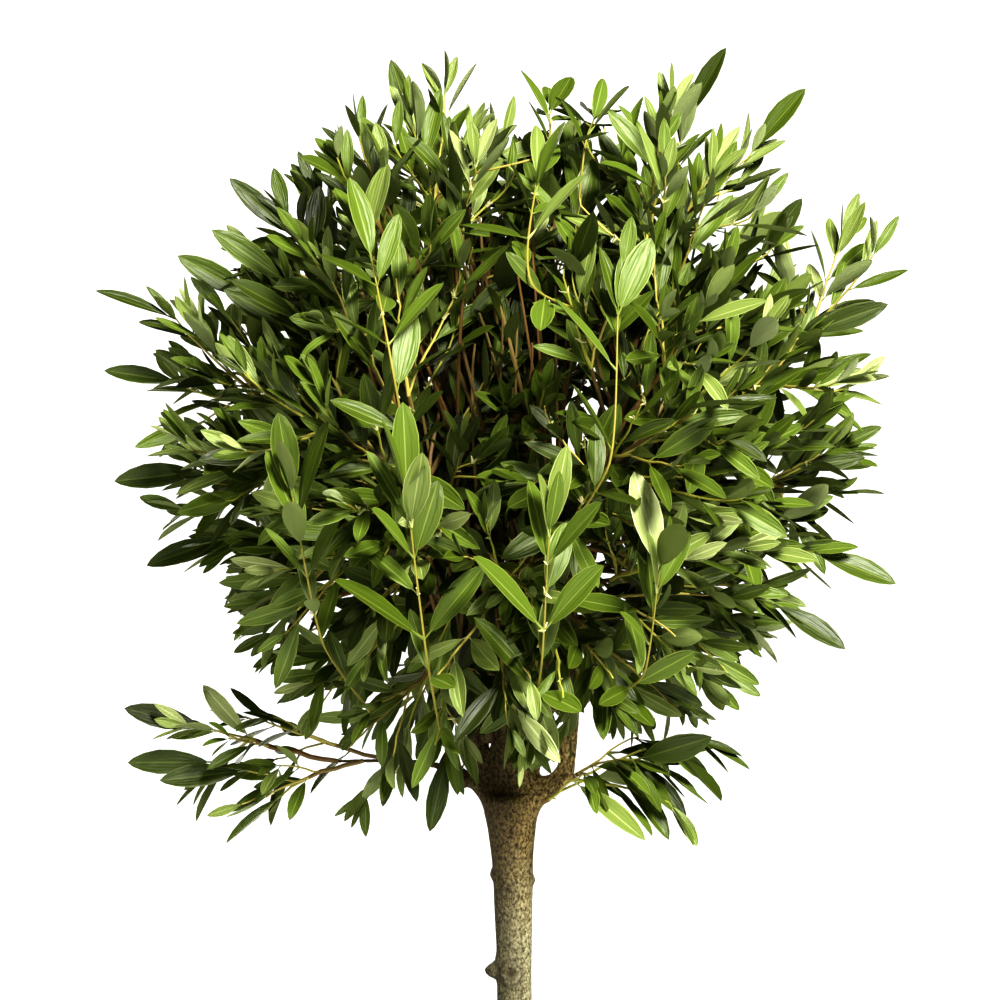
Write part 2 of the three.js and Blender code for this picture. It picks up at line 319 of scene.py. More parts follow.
LEAF_TONES = (
    LeafTone("deep", "#273007", "#3d4815", "#3b4518"),
    LeafTone("dark", "#33400b", "#4f5a1c", "#485420"),
    LeafTone("mid", "#445412", "#65722b", "#5a672e"),
    LeafTone("clear", "#566920", "#7b8842", "#707d47"),
    LeafTone("light", "#70803e", "#9aa368", "#808c5c"),
    LeafTone("young", "#94a064", "#bec494", "#9aa578"),
)


@dataclass(frozen=True)
class TwigFinish:
    """Young olive wood: smooth skin with fine ridges along it, yellow-green and later brown."""

    name: str
    colour: str
    ridges: int = 5                 # round a twig
    roughness: float = 0.62
    relief: float = 0.2 * MM

    def material(self) -> bpy.types.Material:
        """Builds the material, whose ridges run along the twig's own map.

        Returns:
            The material.
        """
        material, tree, shader = new_material(self.name)
        shader.inputs["Base Color"].default_value = linear(self.colour)
        shader.inputs["Roughness"].default_value = self.roughness
        place = add_node(tree, "ShaderNodeUVMap", {"uv_map": BAKE_MAP})
        ridges = add_node(
            tree,
            "ShaderNodeTexWave",
            {"Scale": self.ridges / WAVE_BANDS, "Distortion": 0.0, "bands_direction": "X"},
            {"Vector": place.outputs["UV"]},
        )
        bump = add_node(
            tree,
            "ShaderNodeBump",
            {"Strength": 0.6, "Distance": self.relief},
            {"Height": ridges.outputs["Fac"]},
        )
        tree.links.new(bump.outputs["Normal"], shader.inputs["Normal"])
        return material


SHOOT_TONES = (
    TwigFinish("shoot_green", "#a09f42"),
    TwigFinish("shoot_straw", "#b9ad5c"),
    TwigFinish("shoot_olive", "#8d8438"),
)
BRANCH_TONES = (
    TwigFinish("branch_umber", "#5f4d28"),
    TwigFinish("branch_hazel", "#7a683a"),
    TwigFinish("branch_russet", "#73582d"),
)
BUD_TONES = (
    TwigFinish("bud_cream", "#d9d3a0"),
    TwigFinish("bud_green", "#b5bb78"),
)


@dataclass(frozen=True)
class BarkFinish:
    """Young olive bark: thin and tight, brown under the fork, weathered to olive-grey below.

    It grew smooth and then split into fine upright flecks, which give a mottled, matt skin. Its left side
    is darkened with painted shade.
    """

    weathered: str = "#7c7756"
    pale: str = "#aaa688"
    brown: str = "#84703f"
    tan: str = "#b3a06c"
    dark: str = "#2a210b"
    shaded: str = "#8e8b80"         # painted shade: tint that darkens the left side, the side away from the key light
    painted_shade_from: float = -12 * MM    # painted shade is full left of this
    painted_shade_to: float = 18 * MM       # and none right of this
    fleck_width: float = 1.8 * MM   # real flecks are under 1 mm, drawn coarser so that they show
    fleck_length: float = 2.5 * MM
    patch: float = 24 * MM
    brown_from: float = 470 * MM    # above the ground
    brown_to: float = 560 * MM
    wander: float = 80 * MM         # how far the change to brown wanders up and down
    matt: float = 0.9               # roughness of the dark flecks
    worn: float = 0.66              # and of the pale skin
    relief: float = 0.9 * MM

    def material(self) -> bpy.types.Material:
        """Builds the material from object coordinates and the scar attribute.

        Returns:
            The material.
        """
        material, tree, shader = new_material("olive_bark")
        place = add_node(tree, "ShaderNodeTexCoord").outputs["Object"]
        upright = (1 / self.fleck_width, 1 / self.fleck_width, 1 / self.fleck_length)
        drawn_out = add_node(tree, "ShaderNodeMapping", {"Scale": upright}, {"Vector": place})
        flecks = add_node(
            tree,
            "ShaderNodeTexNoise",
            {"Scale": 1.0, "Detail": 4.0, "Roughness": 0.65},
            {"Vector": drawn_out.outputs["Vector"]},
        )
        patches = add_node(
            tree,
            "ShaderNodeTexNoise",
            {"Scale": 1 / self.patch, "Detail": 3.0},
            {"Vector": place},
        )
        across, _, height = add_node(tree, "ShaderNodeSeparateXYZ", links={"Vector": place}).outputs
        wander = add_node(
            tree,
            "ShaderNodeMath",
            {"operation": "MULTIPLY_ADD", 1: self.wander},
            {0: patches.outputs["Fac"], 2: height},
        )
        browning = add_node(
            tree,
            "ShaderNodeMapRange",
            {
                "interpolation_type": "SMOOTHSTEP",
                "From Min": self.brown_from + self.wander / 2,
                "From Max": self.brown_to + self.wander / 2,
            },
            {"Value": wander.outputs["Value"]},
        )
        low = add_node(tree, "ShaderNodeValToRGB", links={"Fac": flecks.outputs["Fac"]})
        ramp(low, [(0.35, self.dark), (0.48, self.weathered), (0.61, self.pale)])
        high = add_node(tree, "ShaderNodeValToRGB", links={"Fac": flecks.outputs["Fac"]})
        ramp(high, [(0.38, self.dark), (0.5, self.brown), (0.64, self.tan)])
        skin = add_node(
            tree,
            "ShaderNodeMix",
            {"data_type": "RGBA"},
            {SHARE: browning.outputs["Result"], FIRST: low.outputs["Color"], SECOND: high.outputs["Color"]},
        )
        # Painted shade: the left side of the stem and boughs is multiplied by the shaded tint, as the side
        # away from the key light; the right side keeps its colour.
        shade = add_node(
            tree,
            "ShaderNodeMapRange",
            {
                "interpolation_type": "SMOOTHSTEP",
                "From Min": self.painted_shade_from,
                "From Max": self.painted_shade_to,
                "To Min": 1.0,
                "To Max": 0.0,
            },
            {"Value": across},
        )
        painted_shade_mix = add_node(
            tree,
            "ShaderNodeMix",
            {"data_type": "RGBA", "blend_type": "MULTIPLY", SECOND: linear(self.shaded)},
            {SHARE: shade.outputs["Result"], FIRST: skin.outputs[MIXED]},
        )
        scar = add_node(
            tree, "ShaderNodeAttribute", {"attribute_name": "scar", "attribute_type": "GEOMETRY"}
        )
        scarred = add_node(
            tree,
            "ShaderNodeMix",
            {"data_type": "RGBA", SECOND: linear(self.dark)},
            {SHARE: scar.outputs["Fac"], FIRST: painted_shade_mix.outputs[MIXED]},
        )
        matt = add_node(
            tree,
            "ShaderNodeMapRange",
            {"To Min": self.matt, "To Max": self.worn},
            {"Value": flecks.outputs["Fac"]},
        )
        bump = add_node(
            tree,
            "ShaderNodeBump",
            {"Strength": 0.7, "Distance": self.relief},
            {"Height": flecks.outputs["Fac"]},
        )
        tree.links.new(scarred.outputs[MIXED], shader.inputs["Base Color"])
        tree.links.new(matt.outputs["Result"], shader.inputs["Roughness"])
        tree.links.new(bump.outputs["Normal"], shader.inputs["Normal"])
        return material


@dataclass(frozen=True)
class FloorFinish:
    """Matt painted board: even and pale, with a faint roller texture."""

    colour: str = "#dededa"
    roller: float = 6 * MM

    def material(self) -> bpy.types.Material:
        """Builds the material.

        Returns:
            The material.
        """
        material, tree, shader = new_material("floor_paint")
        shader.inputs["Base Color"].default_value = linear(self.colour)
        shader.inputs["Roughness"].default_value = 0.85
        place = add_node(tree, "ShaderNodeTexCoord").outputs["Object"]
        grain = add_node(tree, "ShaderNodeTexNoise", {"Scale": 1 / self.roller}, {"Vector": place})
        bump = add_node(
            tree,
            "ShaderNodeBump",
            {"Strength": 0.1, "Distance": 0.1 * MM},
            {"Height": grain.outputs["Fac"]},
        )
        tree.links.new(bump.outputs["Normal"], shader.inputs["Normal"])
        return material


# ---- Modelling by hand ----

def deselect() -> None:
    """Deselects every object, in object mode."""
    if bpy.context.mode != "OBJECT":
        bpy.ops.object.mode_set(mode="OBJECT")
    bpy.ops.object.select_all(action="DESELECT")


def take(piece: bpy.types.Object) -> None:
    """Makes a piece the only selected one, and the active one.

    Args:
        piece: The piece.
    """
    deselect()
    piece.select_set(True)
    bpy.context.view_layer.objects.active = piece


def join(pieces: list[bpy.types.Object]) -> bpy.types.Object:
    """Joins pieces into the first of them.

    Args:
        pieces: The pieces.

    Returns:
        The first piece, which then holds them all.
    """
    take(pieces[0])
    for piece in pieces[1:]:
        piece.select_set(True)
    bpy.ops.object.join()
    return pieces[0]


def pick(piece: bpy.types.Object, test: Callable[[Vector], bool]) -> None:
    """Selects the vertices, in edit mode, whose place passes a test.

    Args:
        piece: The piece in edit mode.
        test: Says for a place whether it is wanted.
    """
    mesh = bmesh.from_edit_mesh(piece.data)
    for vertex in mesh.verts:
        vertex.select_set(bool(test(vertex.co)))
    mesh.select_flush(True)
    bmesh.update_edit_mesh(piece.data)


def apply_modifier(piece: bpy.types.Object, kind: str, **settings: object) -> None:
    """Adds one modifier and applies it.

    Args:
        piece: The piece.
        kind: The modifier's type.
        **settings: Its settings by name.
    """
    take(piece)
    modifier = piece.modifiers.new(kind.lower(), kind)
    for name, value in settings.items():
        setattr(modifier, name, value)
    bpy.ops.object.modifier_apply(modifier=modifier.name)


@dataclass
class Pattern:
    """A small shape as arrays, ready to be repeated: places, corners, face sizes, map, finish."""

    places: np.ndarray
    corners: np.ndarray
    sizes: np.ndarray
    spots: np.ndarray
    finish: np.ndarray

    @classmethod
    def of(cls, piece: bpy.types.Object) -> "Pattern":
        """Reads a modelled piece into arrays and removes it.

        Args:
            piece: The modelled piece, with one map.

        Returns:
            The pattern.
        """
        mesh = piece.data
        places = np.zeros(len(mesh.vertices) * 3)
        corners = np.zeros(len(mesh.loops), int)
        sizes = np.zeros(len(mesh.polygons), int)
        finish = np.zeros(len(mesh.polygons), int)
        spots = np.zeros(len(mesh.loops) * 2)
        mesh.vertices.foreach_get("co", places)
        mesh.loops.foreach_get("vertex_index", corners)
        mesh.polygons.foreach_get("loop_total", sizes)
        mesh.polygons.foreach_get("material_index", finish)
        mesh.uv_layers[0].data.foreach_get("uv", spots)
        bpy.data.objects.remove(piece)
        return cls(places.reshape(-1, 3), corners, sizes, spots.reshape(-1, 2), finish)


@dataclass
class Gathering:
    """Many small shapes gathered into one mesh."""

    places: list[np.ndarray] = field(default_factory=list)
    corners: list[np.ndarray] = field(default_factory=list)
    sizes: list[np.ndarray] = field(default_factory=list)
    spots: list[np.ndarray] = field(default_factory=list)
    finish: list[np.ndarray] = field(default_factory=list)
    count: int = 0

    def add(self, pattern: Pattern, places: np.ndarray, finish: np.ndarray) -> None:
        """Adds one shape.

        Args:
            pattern: The shape's faces and map.
            places: Where its vertices are.
            finish: The material number of each face.
        """
        self.places.append(places)
        self.corners.append(pattern.corners + self.count)
        self.sizes.append(pattern.sizes)
        self.spots.append(pattern.spots)
        self.finish.append(finish)
        self.count += len(places)

    def make(self, name: str, materials: list[bpy.types.Material], crease: float) -> bpy.types.Object:
        """Makes the joined mesh.

        Args:
            name: The piece's name.
            materials: Its materials in order.
            crease: Edges that turn by more than this many degrees are sharp.

        Returns:
            The piece.
        """
        mesh = bpy.data.meshes.new(name)
        places = np.concatenate(self.places)
        corners = np.concatenate(self.corners)
        sizes = np.concatenate(self.sizes)
        starts = np.concatenate([[0], np.cumsum(sizes)[:-1]])
        mesh.vertices.add(len(places))
        mesh.vertices.foreach_set("co", places.ravel())
        mesh.loops.add(len(corners))
        mesh.loops.foreach_set("vertex_index", corners.astype(np.int32))
        mesh.polygons.add(len(sizes))
        mesh.polygons.foreach_set("loop_start", starts.astype(np.int32))
        mesh.polygons.foreach_set("material_index", np.concatenate(self.finish).astype(np.int32))
        mesh.uv_layers.new(name=BAKE_MAP)
        mesh.uv_layers[0].data.foreach_set("uv", np.concatenate(self.spots).ravel())
        for material in materials:
            mesh.materials.append(material)
        mesh.update(calc_edges=True)
        mesh.validate()
        mesh.polygons.foreach_set("use_smooth", np.ones(len(mesh.polygons), bool))
        mesh.set_sharp_from_angle(angle=math.radians(crease))
        piece = bpy.data.objects.new(name, mesh)
        bpy.context.scene.collection.objects.link(piece)
        return piece


# ---- Leaf and bud ----

class BladePart(Enum):
    """The parts of a leaf that have their own colour, by their place among a tone's materials."""

    UPPER = 0
    RIB = 1
    LOWER = 2


@dataclass
class LeafShape:
    """An olive leaf: a narrow elliptic blade on a short stalk.

    It is modelled with its stalk's foot at the origin, pointing along +Y with its upper side up.
    It is one long and one wide, so that each copy is given its own length and width.
    """

    lift: float                     # how far the blade rises for its length
    droop: float                    # how far it then bends down
    turn: float                     # how far it twists on its way, in degrees
    fold: float = 0.2               # how far the two halves stand up from the midrib
    stalk: float = 0.09             # the stalk's share of the length
    stalk_width: float = 0.085
    stalk_run: float = 1.7          # its length against that share: it runs on under the blade
    stalk_end: tuple[float, float, float] = (0.6, 1, 0.4)       # and narrows there
    rib: float = 0.055              # where the midrib ends, from 0 at the middle to 1 at the edge
    margin: float = 0.93            # and where the margin starts
    thickness: float = 0.035
    slim: float = 0.72              # the lower, the blunter the blade's ends
    fullest: float = 1.12           # above 1, the blade is widest past its middle
    rows: tuple[float, ...] = (0, 0.09, 0.24, 0.43, 0.62, 0.8, 0.93, 1)
    weld: float = 1e-4
    lifted: float = 0.002           # tells a shaped column from one that is still flat
    put_by: float = 10.0            # how far down a shaped row waits for the others

    def width_at(self, along: float) -> float:
        """Gives the blade's half-width, narrow at the base, fullest past the middle, blunt."""
        full = math.sin(math.pi * along**self.fullest) ** self.slim if 0 < along < 1 else 0.0
        return 0.5 * full

    def side(self, columns: list[float], under: bool) -> bpy.types.Object:
        """Models one side of the blade from a grid: its columns, then its rows.

        Args:
            columns: Where the grid's columns stand, from -1 to 1 across the blade.
            under: Whether it is the lower side.

        Returns:
            The side.
        """
        deselect()
        bpy.ops.mesh.primitive_grid_add(
            x_subdivisions=len(columns) - 1, y_subdivisions=len(self.rows) - 1, size=2, calc_uvs=True
        )
        grid = bpy.context.active_object
        bpy.ops.object.mode_set(mode="EDIT")
        # Less than half the distance between two rows or columns that are still in place.
        near_row = 0.4 / len(self.rows)
        near_column = 0.4 / len(columns)
        feet = np.linspace(-1, 1, len(columns))
        for foot, column in sorted(zip(feet, columns), key=lambda pair: -abs(pair[0])):
            pick(grid, lambda place, foot=foot: abs(place.x - foot) < near_column and place.z == 0)
            sink = self.thickness * (1 - abs(column)) if under else 0.0
            rise = self.fold * min(abs(column), self.margin) / 2 + self.lifted - sink
            bpy.ops.transform.translate(value=(column - foot, 0, rise))
        heights = np.linspace(-1, 1, len(self.rows))
        for height, along in zip(heights, self.rows):
            pick(grid, lambda place, height=height: abs(place.y - height) < near_row and place.z > -0.5)
            width = self.width_at(along)
            resize = (max(width, TINY), 1, max(2 * width, TINY))
            bpy.ops.transform.resize(value=resize, center_override=(0, height, 0))
            bpy.ops.transform.rotate(
                value=math.radians(self.turn) * along,
                orient_axis="Y",
                center_override=(0, height, 0),
            )
            arch = self.lift * along - self.droop * along**2
            place_y = self.stalk + (1 - self.stalk) * along
            bpy.ops.transform.translate(value=(0, place_y - height, arch - self.put_by))
        bpy.ops.mesh.select_all(action="SELECT")
        bpy.ops.transform.translate(value=(0, 0, self.put_by))
        if under:
            bpy.ops.mesh.flip_normals()
        bpy.ops.object.mode_set(mode="OBJECT")
        return grid

    def stem(self) -> bpy.types.Object:
        """Models the short stalk as a four-sided tapered prism.

        Returns:
            The stalk.
        """
        deselect()
        bpy.ops.mesh.primitive_cylinder_add(
            vertices=4,
            radius=self.stalk_width / 2,
            depth=self.stalk * self.stalk_run,
            location=(0, self.stalk * self.stalk_run / 2, 0),
            rotation=(math.pi / 2, 0, 0),
            calc_uvs=True,
        )
        stalk = bpy.context.active_object
        bpy.ops.object.transform_apply(location=True, rotation=True)
        bpy.ops.object.mode_set(mode="EDIT")
        pick(stalk, lambda place: place.y > self.stalk)
        bpy.ops.transform.resize(value=self.stalk_end, center_override=(0, self.stalk, 0))
        bpy.ops.object.mode_set(mode="OBJECT")
        return stalk

    def pattern(self) -> Pattern:
        """Models the whole leaf.

        Returns:
            The leaf as arrays, with a BladePart's value as each face's finish.
        """
        columns = [-1, -self.margin, -0.5, -self.rib, self.rib, 0.5, self.margin, 1]
        upper = self.side(columns, False)
        lower = self.side([-1, 0, 1], True)
        stalk = self.stem()
        lays = (
            (upper, BladePart.UPPER, 0.02, 0.62),
            (lower, BladePart.LOWER, 0.66, 0.88),
            (stalk, BladePart.RIB, 0.9, 0.98),
        )
        for part, finish, low, high in lays:
            for kind in BladePart:
                name = f"place_of_{kind.name.lower()}"
                part.data.materials.append(bpy.data.materials.get(name) or bpy.data.materials.new(name))
            for spot in part.data.uv_layers[0].data:
                along = MAP_EDGE + (1 - 2 * MAP_EDGE) * spot.uv.y
                spot.uv = (low + (high - low) * spot.uv.x, along)
            for face in part.data.polygons:
                face.material_index = finish.value
        strips = len(columns) - 1
        for face in upper.data.polygons:
            if face.index % strips in (0, strips // 2, strips - 1):
                face.material_index = BladePart.RIB.value
        leaf = join([upper, lower, stalk])
        bpy.ops.object.mode_set(mode="EDIT")
        bpy.ops.mesh.select_all(action="SELECT")
        bpy.ops.mesh.remove_doubles(threshold=self.weld)
        bpy.ops.object.mode_set(mode="OBJECT")
        return Pattern.of(leaf)


BUD_RADIUS = 0.24               # against a bud's length
BUD_POINT = 0.25                # its point's width against its foot's


def bud_pattern() -> Pattern:
    """Models a pointed bud as a four-sided spindle, one long, pointing along +Y.

    Returns:
        The bud as arrays.
    """
    deselect()
    bpy.ops.mesh.primitive_cylinder_add(
        vertices=4,
        radius=BUD_RADIUS,
        depth=1,
        location=(0, 0.5, 0),
        rotation=(math.pi / 2, 0, 0),
        calc_uvs=True,
    )
    bud = bpy.context.active_object
    bpy.ops.object.transform_apply(location=True, rotation=True)
    bpy.ops.object.mode_set(mode="EDIT")
    pick(bud, lambda place: place.y > 0.5)
    bpy.ops.transform.resize(value=(BUD_POINT, 1, BUD_POINT), center_override=(0, 1, 0))
    bpy.ops.object.mode_set(mode="OBJECT")
    return Pattern.of(bud)


@dataclass
class LeafPlace:
    """One leaf on the tree: where its stalk's foot is, how it lies, and its size and colour."""

    foot: np.ndarray
    axis: np.ndarray
    face: np.ndarray
    length: float
    width: float
    shape: int
    tone: int


# ---- Growth ----

@dataclass
class Twig:
    """A grown axis: points along its middle and the radius at each."""

    points: np.ndarray
    radii: np.ndarray
    tone: int
    brown: bool = False             # whether it is brown to its end


@dataclass(frozen=True)
class GrowthRule:
    """How olive wood branches."""

    branch_angle: float = 36.0          # degrees between a side shoot and its parent
    group: float = 3.6                  # tips that share one side branch
    few: int = 3                        # and so many need none to share
    mains: int = 4                      # branches that part near the end of a bough
    main_step: float = 19 * MM          # how far apart they do
    main_keep: float = 0.7              # how strongly they keep to the bough's own direction
    side_turn: float = 1.1              # how strongly a side axis turns to its tips
    last_parting: float = 0.8           # the share of an axis that may bear side axes
    lead_reach: float = 0.6             # what distance counts against straightness in a leader
    pitch: float = 9 * MM               # between an axis's points
    wobble: float = 0.5 * MM
    tip_radius: float = 0.6 * MM
    shoot_radius: float = 1.0 * MM
    taper: float = 60 * MM              # over which a tip thins
    load_power: float = 0.33            # how an axis thickens with the tips that it carries
    green_radius: float = 1.4 * MM      # thinner wood is still green
    least_leaves: int = 4               # a shoot with fewer doesn't grow
    light_pull: float = 1.3             # how strongly shoots turn up to the light
    light_pull_low: float = 0.05        # and on the shaded underside of the crown
    lit_slope: float = 0.1              # where the outline faces up this far, it is all lit
    shade_slope: float = -0.5           # and down this far, all shade
    straight: float = 0.5               # how strongly they keep to their own direction
    sway: float = 0.16


@dataclass(frozen=True)
class TipRule:
    """Where the shoots of a mass end."""

    outer_spacing: float = 35 * MM
    inner_spacing: float = 50 * MM
    inner_depth: float = 55 * MM
    inner_spread: float = 8 * MM
    facing: float = 0.25                # how far the outline must face out of its mass to bear tips
    facing_hanging: float = -0.5
    bare: float = 22 * MM               # no tip of a hanging mass is nearer to its foot
    depth: float = 24 * MM              # from the last node to the outline
    depth_under: float = 6 * MM         # and on the underside of the crown
    under_from: float = -0.25           # which starts where the outline faces down this far
    under_span: float = 0.35
    shallower: float = -6               # by how many millimetres a tip's depth may differ
    deeper: float = 10
    least: float = 30 * MM              # the shortest axis from the foot
    reach_length: float = 64 * MM       # of the single leaves that reach out furthest
    reach_least: float = 0.88
    reach_most: float = 1.06
    spike_around: float = 42 * MM       # vertices this near are compared with a spike
    spike_height: float = 13 * MM       # which stands out this far


@dataclass(frozen=True)
class LeafRule:
    """How olive shoots bear leaves."""

    leafy_radius: float = 1.7 * MM      # thicker wood is bare
    leafy_length: float = 165 * MM
    bare_foot: float = 12 * MM          # the bare foot of every shoot
    first: float = 2 * MM               # from the tip to the last pair
    internode_low: float = 29 * MM
    internode_high: float = 15 * MM
    internode_spread: float = 2 * MM
    internode_turns: float = 1.6        # how soon internodes lengthen down the shoot
    hanging_internode: float = 1.35     # how much longer the internodes of hanging sprays are
    length: float = 48 * MM
    spread: float = 7 * MM
    shortest: float = 34 * MM
    aspect: float = 3.8                 # length for width
    stouter: float = 0.86               # and how far it may differ
    slimmer: float = 1.25
    angle_low: float = 50.0             # between a leaf and its shoot, low on the shoot
    angle_high: float = 20.0
    angle_turns: float = 2.2            # how soon leaves open down the shoot
    young_size: float = 0.62            # of the last leaves against full-grown ones
    grown_after: float = 22 * MM        # from the tip
    end_angle: float = 8.0
    end_size: float = 0.7
    missing: float = 0.1
    turn_spread: float = 14.0           # degrees by which a pair differs from a quarter turn
    angle_spread: float = 7.0
    stray: float = 0.09
    face_along: float = 0.8             # how a leaf's upper side turns to its shoot's tip
    face_shoot: float = 0.4             # to the shoot
    face_up: float = 0.3
    face_out: float = 0.4               # and out of the crown
    facing_spread: float = 0.34
    bud_share: float = 0.3
    bud_least: float = 3.5              # millimetres
    bud_most: float = 6.5
    bud_opening: float = 0.6
    back_light: float = 60 * MM         # from so far behind the crown's middle, light comes from behind
    light_pull: float = 0.9             # how strongly leaves turn their upper side to the light
    bold_pull: float = 6.0              # and how much more so with their boldness
    bold_width: float = 1.12
    reach_slim: float = 4.2             # length for width of the leaves that reach out
    reach_stout: float = 3.2
    reach_up: float = 0.5               # how their upper side turns up
    reach_front: float = 1.1            # and to the front
    reach_spread: float = 0.3


@dataclass(frozen=True)
class ToneRule:
    """How the leaves' colours are dealt out by spray, as numbers among the tones."""

    spray: float = 1.7
    spray_spread: float = 0.75
    hanging: float = -0.8
    bold: float = 1.6
    fresh: float = 1.1                  # paler to the shoot's tip
    outer: float = 3.2                  # and to the outside of the crown; darker to the inside, partly older leaves and partly painted shade
    outer_from: float = 0.8
    spread: float = 0.6
    reach_fresh: float = -1.2           # the leaves that reach out are old ones
    crown_radius: float = 255 * MM


PARTING_ROUNDS = 6              # of moving each group's middle
TONE_DRAWS = 60                 # a multiple of the numbers of bark tones, so that all come up alike
TIPS = TipRule()
BLADES = LeafRule()
TONES = ToneRule()


@dataclass
class Outline:
    """How far foliage reaches from a middle in each direction."""

    middle: np.ndarray
    shell: np.ndarray
    allowance: float = 9 * MM       # how far a leaf's tip may pass it
    cone: float = math.cos(math.radians(13))        # how near in direction a vertex counts

    def __post_init__(self) -> None:
        """Works out the directions and reaches of the shell's vertices."""
        self.ways = unit(self.shell - self.middle)
        self.reaches = np.linalg.norm(self.shell - self.middle, axis=1)

    def holds(self, place: np.ndarray) -> bool:
        """Says whether a place lies inside the outline, give or take the allowance.

        Args:
            place: The place.

        Returns:
            Whether it does, which it also does where no vertex shows the outline.
        """
        away = place - self.middle
        near = self.ways @ unit(away) > self.cone
        if not near.any():
            return True
        return bool(np.linalg.norm(away) < self.reaches[near].max() + self.allowance)


@dataclass
class FoliageMass:
    """One mass of foliage, grown on from the end of its bough."""

    name: str
    rule: GrowthRule
    outline: Outline
    boughs: dict[str, np.ndarray]
    rng: np.random.Generator
    twigs: list[Twig] = field(default_factory=list)
    leaves: list[LeafPlace] = field(default_factory=list)
    buds: list[tuple[np.ndarray, np.ndarray, float]] = field(default_factory=list)
    boldness: float = 1.0           # size of the leaves that are being set, and how they seek the light
    end_reach: float = 8 * MM       # how far a bough's end goes back
    before_end: float = 60 * MM     # and the stretch that shows where it points
    band: float = 9 * MM            # half the stretch that shows a bough's middle line
    sunk: float = 4 * MM            # how deep in the bough's end the branches start
    hanging_allowance: float = 12 * MM
    hanging_cone: float = 26        # degrees round a direction that show how far a hanging mass reaches

    def __post_init__(self) -> None:
        """Reads the mass and finds its bough's end."""
        self.habit = HANGING.get(self.name)
        self.hangs = self.habit is not None
        self.crown_centre = self.outline.middle
        self.shell = node_places(self.name)
        self.middle = self.shell.mean(axis=0)
        if self.hangs:
            cone = math.cos(math.radians(self.hanging_cone))
            self.outline = Outline(self.middle, self.shell, self.hanging_allowance, cone)
        away = {name: np.linalg.norm(wood - self.middle, axis=1) for name, wood in self.boughs.items()}
        nearest = min(away, key=lambda name: away[name].min())
        self.wood = self.boughs[nearest]
        end_vertex = self.wood[away[nearest].argmin()]
        from_end = np.linalg.norm(self.wood - end_vertex, axis=1)
        self.foot = self.wood[from_end < self.end_reach].mean(axis=0)
        before = self.wood[(from_end > self.end_reach) & (from_end < self.before_end)].mean(axis=0)
        self.leave = unit(self.foot - before)
        self.foot = self.foot - self.sunk * self.leave

    def outward(self, place: np.ndarray) -> np.ndarray:
        """Gives the way out of the crown at a place."""
        return unit(place - (self.foot if self.hangs else self.crown_centre))

    def arrive_at(self, place: np.ndarray, foot: np.ndarray) -> np.ndarray:
        """Gives the direction in which a shoot grows at its end: outwards and to the light.

        Args:
            place: Where the shoot ends.
            foot: Where it starts.

        Returns:
            The direction.
        """
        rule = self.rule
        out = self.outward(place)
        share = np.clip((out[2] - rule.shade_slope) / (rule.lit_slope - rule.shade_slope), 0, 1)
        light = rule.light_pull_low + share * (rule.light_pull - rule.light_pull_low)
        light = self.habit.pull if self.hangs else light
        sway = self.rng.normal(0, rule.sway, 3)
        return unit(out + light * UP + rule.straight * unit(place - foot) + sway)

    def standing_out(self) -> np.ndarray:
        """Finds the vertices that stand out from those round them, where single leaves reach out.

        Returns:
            Their numbers.
        """
        reach = np.linalg.norm(self.shell - self.middle, axis=1)
        apart = np.linalg.norm(self.shell[:, None] - self.shell[None], axis=2)
        near = (apart > 1 * MM) & (apart < TIPS.spike_around)
        around = (near * reach[None]).sum(axis=1) / np.maximum(near.sum(axis=1), 1)
        return np.flatnonzero(reach - around > TIPS.spike_height)

    def spread(self, places: np.ndarray, spacing: float, first: np.ndarray) -> np.ndarray:
        """Chooses places that are evenly spread, furthest first.

        Args:
            places: The places to choose from.
            spacing: The least distance between two.
            first: Numbers of those that are chosen in any case.

        Returns:
            The numbers of the chosen places.
        """
        chosen = list(first) if len(first) else [int(self.rng.integers(len(places)))]
        near = np.min([np.linalg.norm(places - places[c], axis=1) for c in chosen], axis=0)
        while near.max() > spacing:
            chosen.append(int(near.argmax()))
            near = np.minimum(near, np.linalg.norm(places - places[chosen[-1]], axis=1))
        return np.array(chosen)

    def tips(self) -> tuple[np.ndarray, np.ndarray]:
        """Works out where the shoots of this mass end.

        Returns:
            The places, and for each the tip of the leaf that reaches out from it, or not-a-number.
        """
        out = self.outward(self.shell)
        facing = np.einsum("ij,ij->i", unit(self.shell - self.middle), out)
        ahead = (self.shell - self.foot) @ self.leave
        if self.hangs:
            outer = self.shell[(facing > TIPS.facing_hanging) & (ahead > TIPS.bare)]
        else:
            outer = self.shell[facing > TIPS.facing]
        spikes = self.shell[self.standing_out()]
        first = [int(np.linalg.norm(outer - s, axis=1).argmin()) for s in spikes]
        first = np.array(sorted(set(first)), int)
        chosen = self.spread(outer, self.habit.spacing if self.hangs else TIPS.outer_spacing, first)
        ends = outer[chosen]
        is_spike = np.isin(chosen, first)
        under = np.clip((TIPS.under_from - self.outward(ends)[:, 2]) / TIPS.under_span, 0, 1)
        depth = TIPS.depth + (TIPS.depth_under - TIPS.depth) * under
        depth = depth + self.rng.uniform(TIPS.shallower, TIPS.deeper, len(ends)) * MM
        reach = TIPS.reach_length * self.rng.uniform(TIPS.reach_least, TIPS.reach_most, len(ends))
        depth = np.where(is_spike, reach, depth)
        reach_out = np.where(is_spike[:, None], ends, np.nan)
        ends = ends - self.outward(ends) * depth[:, None]
        ends = np.array([WINDOW.pull_in(e, self.crown_centre) for e in ends])
        inner = outer - self.outward(outer) * (TIPS.depth + TIPS.inner_depth)
        inner = inner[self.spread(inner, TIPS.inner_spacing, np.array([], int))]
        inner = inner + self.rng.normal(0, TIPS.inner_spread, inner.shape)
        places = np.concatenate([ends, inner])
        reach_out = np.concatenate([reach_out, np.full(inner.shape, np.nan)])
        far = np.linalg.norm(places - self.foot, axis=1) > TIPS.least
        return places[far], reach_out[far]

